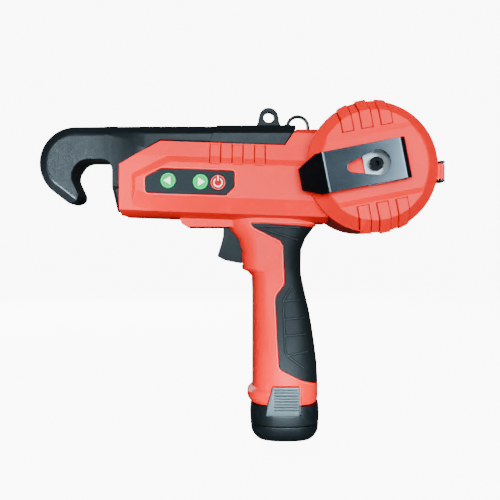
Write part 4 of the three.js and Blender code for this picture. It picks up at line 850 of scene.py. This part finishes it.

# Raised red rim round the control panel, and the red lip that frames the grip's rubber, both painted paler
# as a highlight
rim = bead(
    "panel_rim", PANEL_CORNERS, RIM_RADIUS, "left_shell", "tool", painted_highlight_red, closed=True, aside_mm=RIM_ASIDE
)
for side, word, shell in ((-1, "left", "left_shell"), (1, "right", "right_shell")):
    lip = bead(f"grip_lip_{word}", GRIP_EDGE, LIP_RADIUS, shell, "tool", painted_highlight_red, side, aside_mm=LIP_ASIDE)
    for number, ridge in enumerate(GRIP_RIDGES, 1):
        for part, radius, sunk, material in RIDGE_BEADS:
            title = f"grip_{part}_{word}_{number}"
            made = bead(title, ridge, radius, "grip_overmould", "tool", material, side, sunk=sunk)


# Printed signs on the keys, a little proud of them: radii and sizes in millimetres
KEY_RING = (4.3, 4.95)
POWER_RING = (4.6, 5.0)
ARROW_RADIUS, ARROW_CORNER = 3.4, 0.5
# The power sign is a ring over this many degrees, with a bar in the gap that it leaves
SIGN_RING, SIGN_DEGREES, SIGN_STEPS = (2.5, 3.25), 290.0, 36
BAR_WIDTH, BAR_LENGTH, BAR_HEIGHT = 0.8, 3.2, 2.9


def annulus(bm, low_mm, high_mm, degrees=360.0, steps=48):
    """A flat ring round the Y axis, open at its top when it isn't whole."""
    start = Matrix.Rotation(math.radians((360 - degrees) / 2), 3, "Y") @ Vector((0, 0, 1))
    ends = [bm.verts.new(start * r * MM) for r in (low_mm, high_mm)]
    edge = bm.edges.new(ends)
    bmesh.ops.spin(
        bm,
        geom=ends + [edge],
        cent=(0, 0, 0),
        axis=(0, 1, 0),
        angle=math.radians(degrees),
        steps=steps,
        use_merge=degrees == 360,
    )


def printed(bm, name, key, material, height_mm=0.08):
    """A flat shape round the origin as a print on the middle of a key."""
    low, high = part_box(key)
    raised = bmesh.ops.extrude_face_region(bm, geom=list(bm.faces))
    tops = [v for v in raised["geom"] if isinstance(v, bmesh.types.BMVert)]
    bmesh.ops.translate(bm, verts=tops, vec=(0, -height_mm * MM, 0))
    middle = Vector(((low[0] + high[0]) / 2, low[1], (low[2] + high[2]) / 2))
    bmesh.ops.translate(bm, verts=bm.verts, vec=middle)
    piece = finished(bm, name, frame["nodes"][key]["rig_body"], material)


for key, turn in (("forward_button", -90), ("reverse_button", 90)):
    ring = bmesh.new()
    annulus(ring, *KEY_RING)
    printed(ring, key + "_ring", key, pale_green_ink)
    arrow = bmesh.new()
    # A circle of three corners lies flat, so it is stood up and turned the way it points
    stand = Matrix.Rotation(math.radians(turn), 4, "Y") @ Matrix.Rotation(math.radians(90), 4, "X")
    bmesh.ops.create_circle(arrow, cap_ends=True, segments=3, radius=ARROW_RADIUS * MM, matrix=stand)
    bmesh.ops.bevel(
        arrow,
        geom=list(arrow.verts),
        offset=ARROW_CORNER * MM,
        affect="VERTICES",
        segments=3,
        profile=0.5,
        material=-1,
    )
    printed(arrow, key + "_arrow", key, white_ink)
ring = bmesh.new()
annulus(ring, *POWER_RING)
printed(ring, "power_button_ring", "power_button", pale_red_ink)
power = bmesh.new()
annulus(power, *SIGN_RING, SIGN_DEGREES, SIGN_STEPS)
# A square of one millimetre, stretched into the bar and stood up
bar = bmesh.ops.create_grid(power, x_segments=1, y_segments=1, size=0.5 * MM)["verts"]
bmesh.ops.transform(
    power,
    verts=bar,
    matrix=Matrix.Translation((0, 0, BAR_HEIGHT * MM))
    @ Matrix.Rotation(math.radians(90), 4, "X")
    @ Matrix.Diagonal((BAR_WIDTH, BAR_LENGTH, 1, 1)),
)
printed(power, "power_button_sign", "power_button", white_ink)


# Camera where the photograph was taken from, in millimetres: how far it is in front of the middle
# plane, its place along the tool, its height, and how wide its picture is in the middle plane
CAMERA_AWAY, CAMERA_ALONG, CAMERA_HEIGHT = 436, -25.2, 132.3
PICTURE_WIDTH, SENSOR_WIDTH = 370, 36
# The picture's middle is this share of its width above the camera's height
CAMERA_SHIFT = 0.012
camera_data = bpy.data.cameras.new("camera")
camera_data.sensor_width = SENSOR_WIDTH
camera_data.lens = SENSOR_WIDTH * CAMERA_AWAY / PICTURE_WIDTH
camera_data.shift_y = CAMERA_SHIFT
camera_data.clip_start = 0.01
camera_data.clip_end = 20
camera = bpy.data.objects.new("camera", camera_data)
camera.location = (CAMERA_ALONG * MM, -CAMERA_AWAY * MM, CAMERA_HEIGHT * MM)
camera.rotation_euler = (math.radians(90), 0, 0)
bpy.context.scene.collection.objects.link(camera)
bpy.context.scene.camera = camera


def area_light(name, place, target, size, power, mirrored=True, spread=180, lit=True):
    """A lamp that shows in gloss if it is mirrored, and lights matt surfaces if it is lit."""
    data = bpy.data.lights.new(name, "AREA")
    data.shape = "RECTANGLE"
    data.size, data.size_y = size
    data.energy = power
    data.spread = math.radians(spread)
    lamp = bpy.data.objects.new(name, data)
    lamp.location = place
    lamp.visible_camera = False
    lamp.visible_glossy = mirrored
    lamp.visible_diffuse = lit
    lamp.rotation_euler = (Vector(target) - Vector(place)).to_track_quat("-Z", "Y").to_euler()
    bpy.context.scene.collection.objects.link(lamp)


# A wide strip behind the camera that hazes what faces it, one above it that adds only gloss to the
# sloping top, a box on each side for the hook's sheen and the clip, two fills that throw no gloss,
# small strips close to the battery's foot and to the hook's lower edge, and behind the tool a panel
# for the far side and a high one for what faces up. Places and sizes are in metres, powers in watts
area_light("front strip", (-0.2, -1.15, 0.33), (-0.05, 0, 0.19), (0.45, 0.25), 3)
area_light("upper strip", (-0.1, -1.15, 1.25), (0, 0, 0.2), (0.7, 0.35), 10, lit=False)
area_light("hook box", (-0.6, -1.15, 0.36), (-0.15, 0, 0.19), (0.12, 0.5), 6.5)
area_light("clip box", (0.58, -1.15, 0.36), (0.05, 0, 0.19), (0.36, 0.4), 8)
area_light("fill", (0.0, -1.2, 0.22), (0, 0, 0.17), (1.0, 0.4), 23, mirrored=False)
area_light("low panel", (0.0, -0.95, 0.05), (0, 0, 0.14), (0.9, 0.1), 4, mirrored=False)
area_light("foot strip", (0.01, -0.22, 0.008), (0.01, 0, 0.022), (0.07, 0.02), 0.07, spread=60)
area_light("hook strip", (-0.42, -0.3, 0.05), (-0.175, 0, 0.165), (0.12, 0.03), 0.07, spread=20)
area_light("back panel", (-0.7, 1.2, 0.6), (0, 0, 0.15), (0.8, 0.6), 14)
area_light("high panel", (0.25, 1.2, 1.2), (0, 0, 0.15), (0.9, 0.6), 16, mirrored=False)

# A faint white world, so that no shade goes quite black
world = bpy.data.worlds.new("studio")
world.use_nodes = True
world.node_tree.nodes["Background"].inputs["Color"].default_value = linear("#ffffff")
world.node_tree.nodes["Background"].inputs["Strength"].default_value = 0.05
bpy.context.scene.world = world

# Floor that the tool stands on, turning up into a wall all round it: an even, blown-out white with
# faint clouding this many millimetres wide
PAPER_MM = 60
pale, pale_shader, pale_place = started(
    "matt white studio paper, lit from below",
    Roughness=0.9,
    Emission_Color=linear("#ffffff"),
    Emission_Strength=9.0,
)
fibre = add(
    pale, "ShaderNodeTexNoise", {"Vector": pale_place}, {"Scale": 1 / (PAPER_MM * MM), "Detail": 2}
).outputs["Fac"]
tint = add(
    pale, "ShaderNodeMix", {0: fibre}, {6: linear("#ffffff"), 7: linear("#fafafa")}, data_type="RGBA"
).outputs[2]
plug(pale, pale_shader, Base_Color=tint)
# The floor's height, just below the tool's foot, where its flat ends, the radius of its turn and the
# wall's top, in metres
FLOOR_Z, BOWL_FLAT, BOWL_TURN, BOWL_TOP = -0.0005, 2.0, 1.2, 4.0
BOWL_STEPS = 10
bowl = bmesh.new()
profile = [bowl.verts.new((0, 0, FLOOR_Z)), bowl.verts.new((BOWL_FLAT, 0, FLOOR_Z))]
for step in range(1, BOWL_STEPS + 1):
    turn = math.radians(90 * step / BOWL_STEPS)
    place = (BOWL_FLAT + BOWL_TURN * math.sin(turn), 0, BOWL_TURN * (1 - math.cos(turn)) + FLOOR_Z)
    profile.append(bowl.verts.new(place))
profile.append(bowl.verts.new((BOWL_FLAT + BOWL_TURN, 0, BOWL_TOP)))
edges = [bowl.edges.new(pair) for pair in zip(profile, profile[1:])]
bmesh.ops.spin(
    bowl,
    geom=profile + edges,
    cent=(0, 0, 0),
    axis=(0, 0, 1),
    angle=math.radians(360),
    steps=48,
    use_merge=True,
)
bmesh.ops.remove_doubles(bowl, verts=bowl.verts, dist=1e-5)
bmesh.ops.recalc_face_normals(bowl, faces=bowl.faces)
mesh = bpy.data.meshes.new("floor")
bowl.to_mesh(mesh)
bowl.free()
mesh.shade_smooth()
mesh.materials.append(pale)
floor = bpy.data.objects.new("floor", mesh)
bpy.context.scene.collection.objects.link(floor)
# The paper shows, but throws no light back: the tool was photographed away from any pale ground
floor.visible_diffuse = False
floor.visible_glossy = False
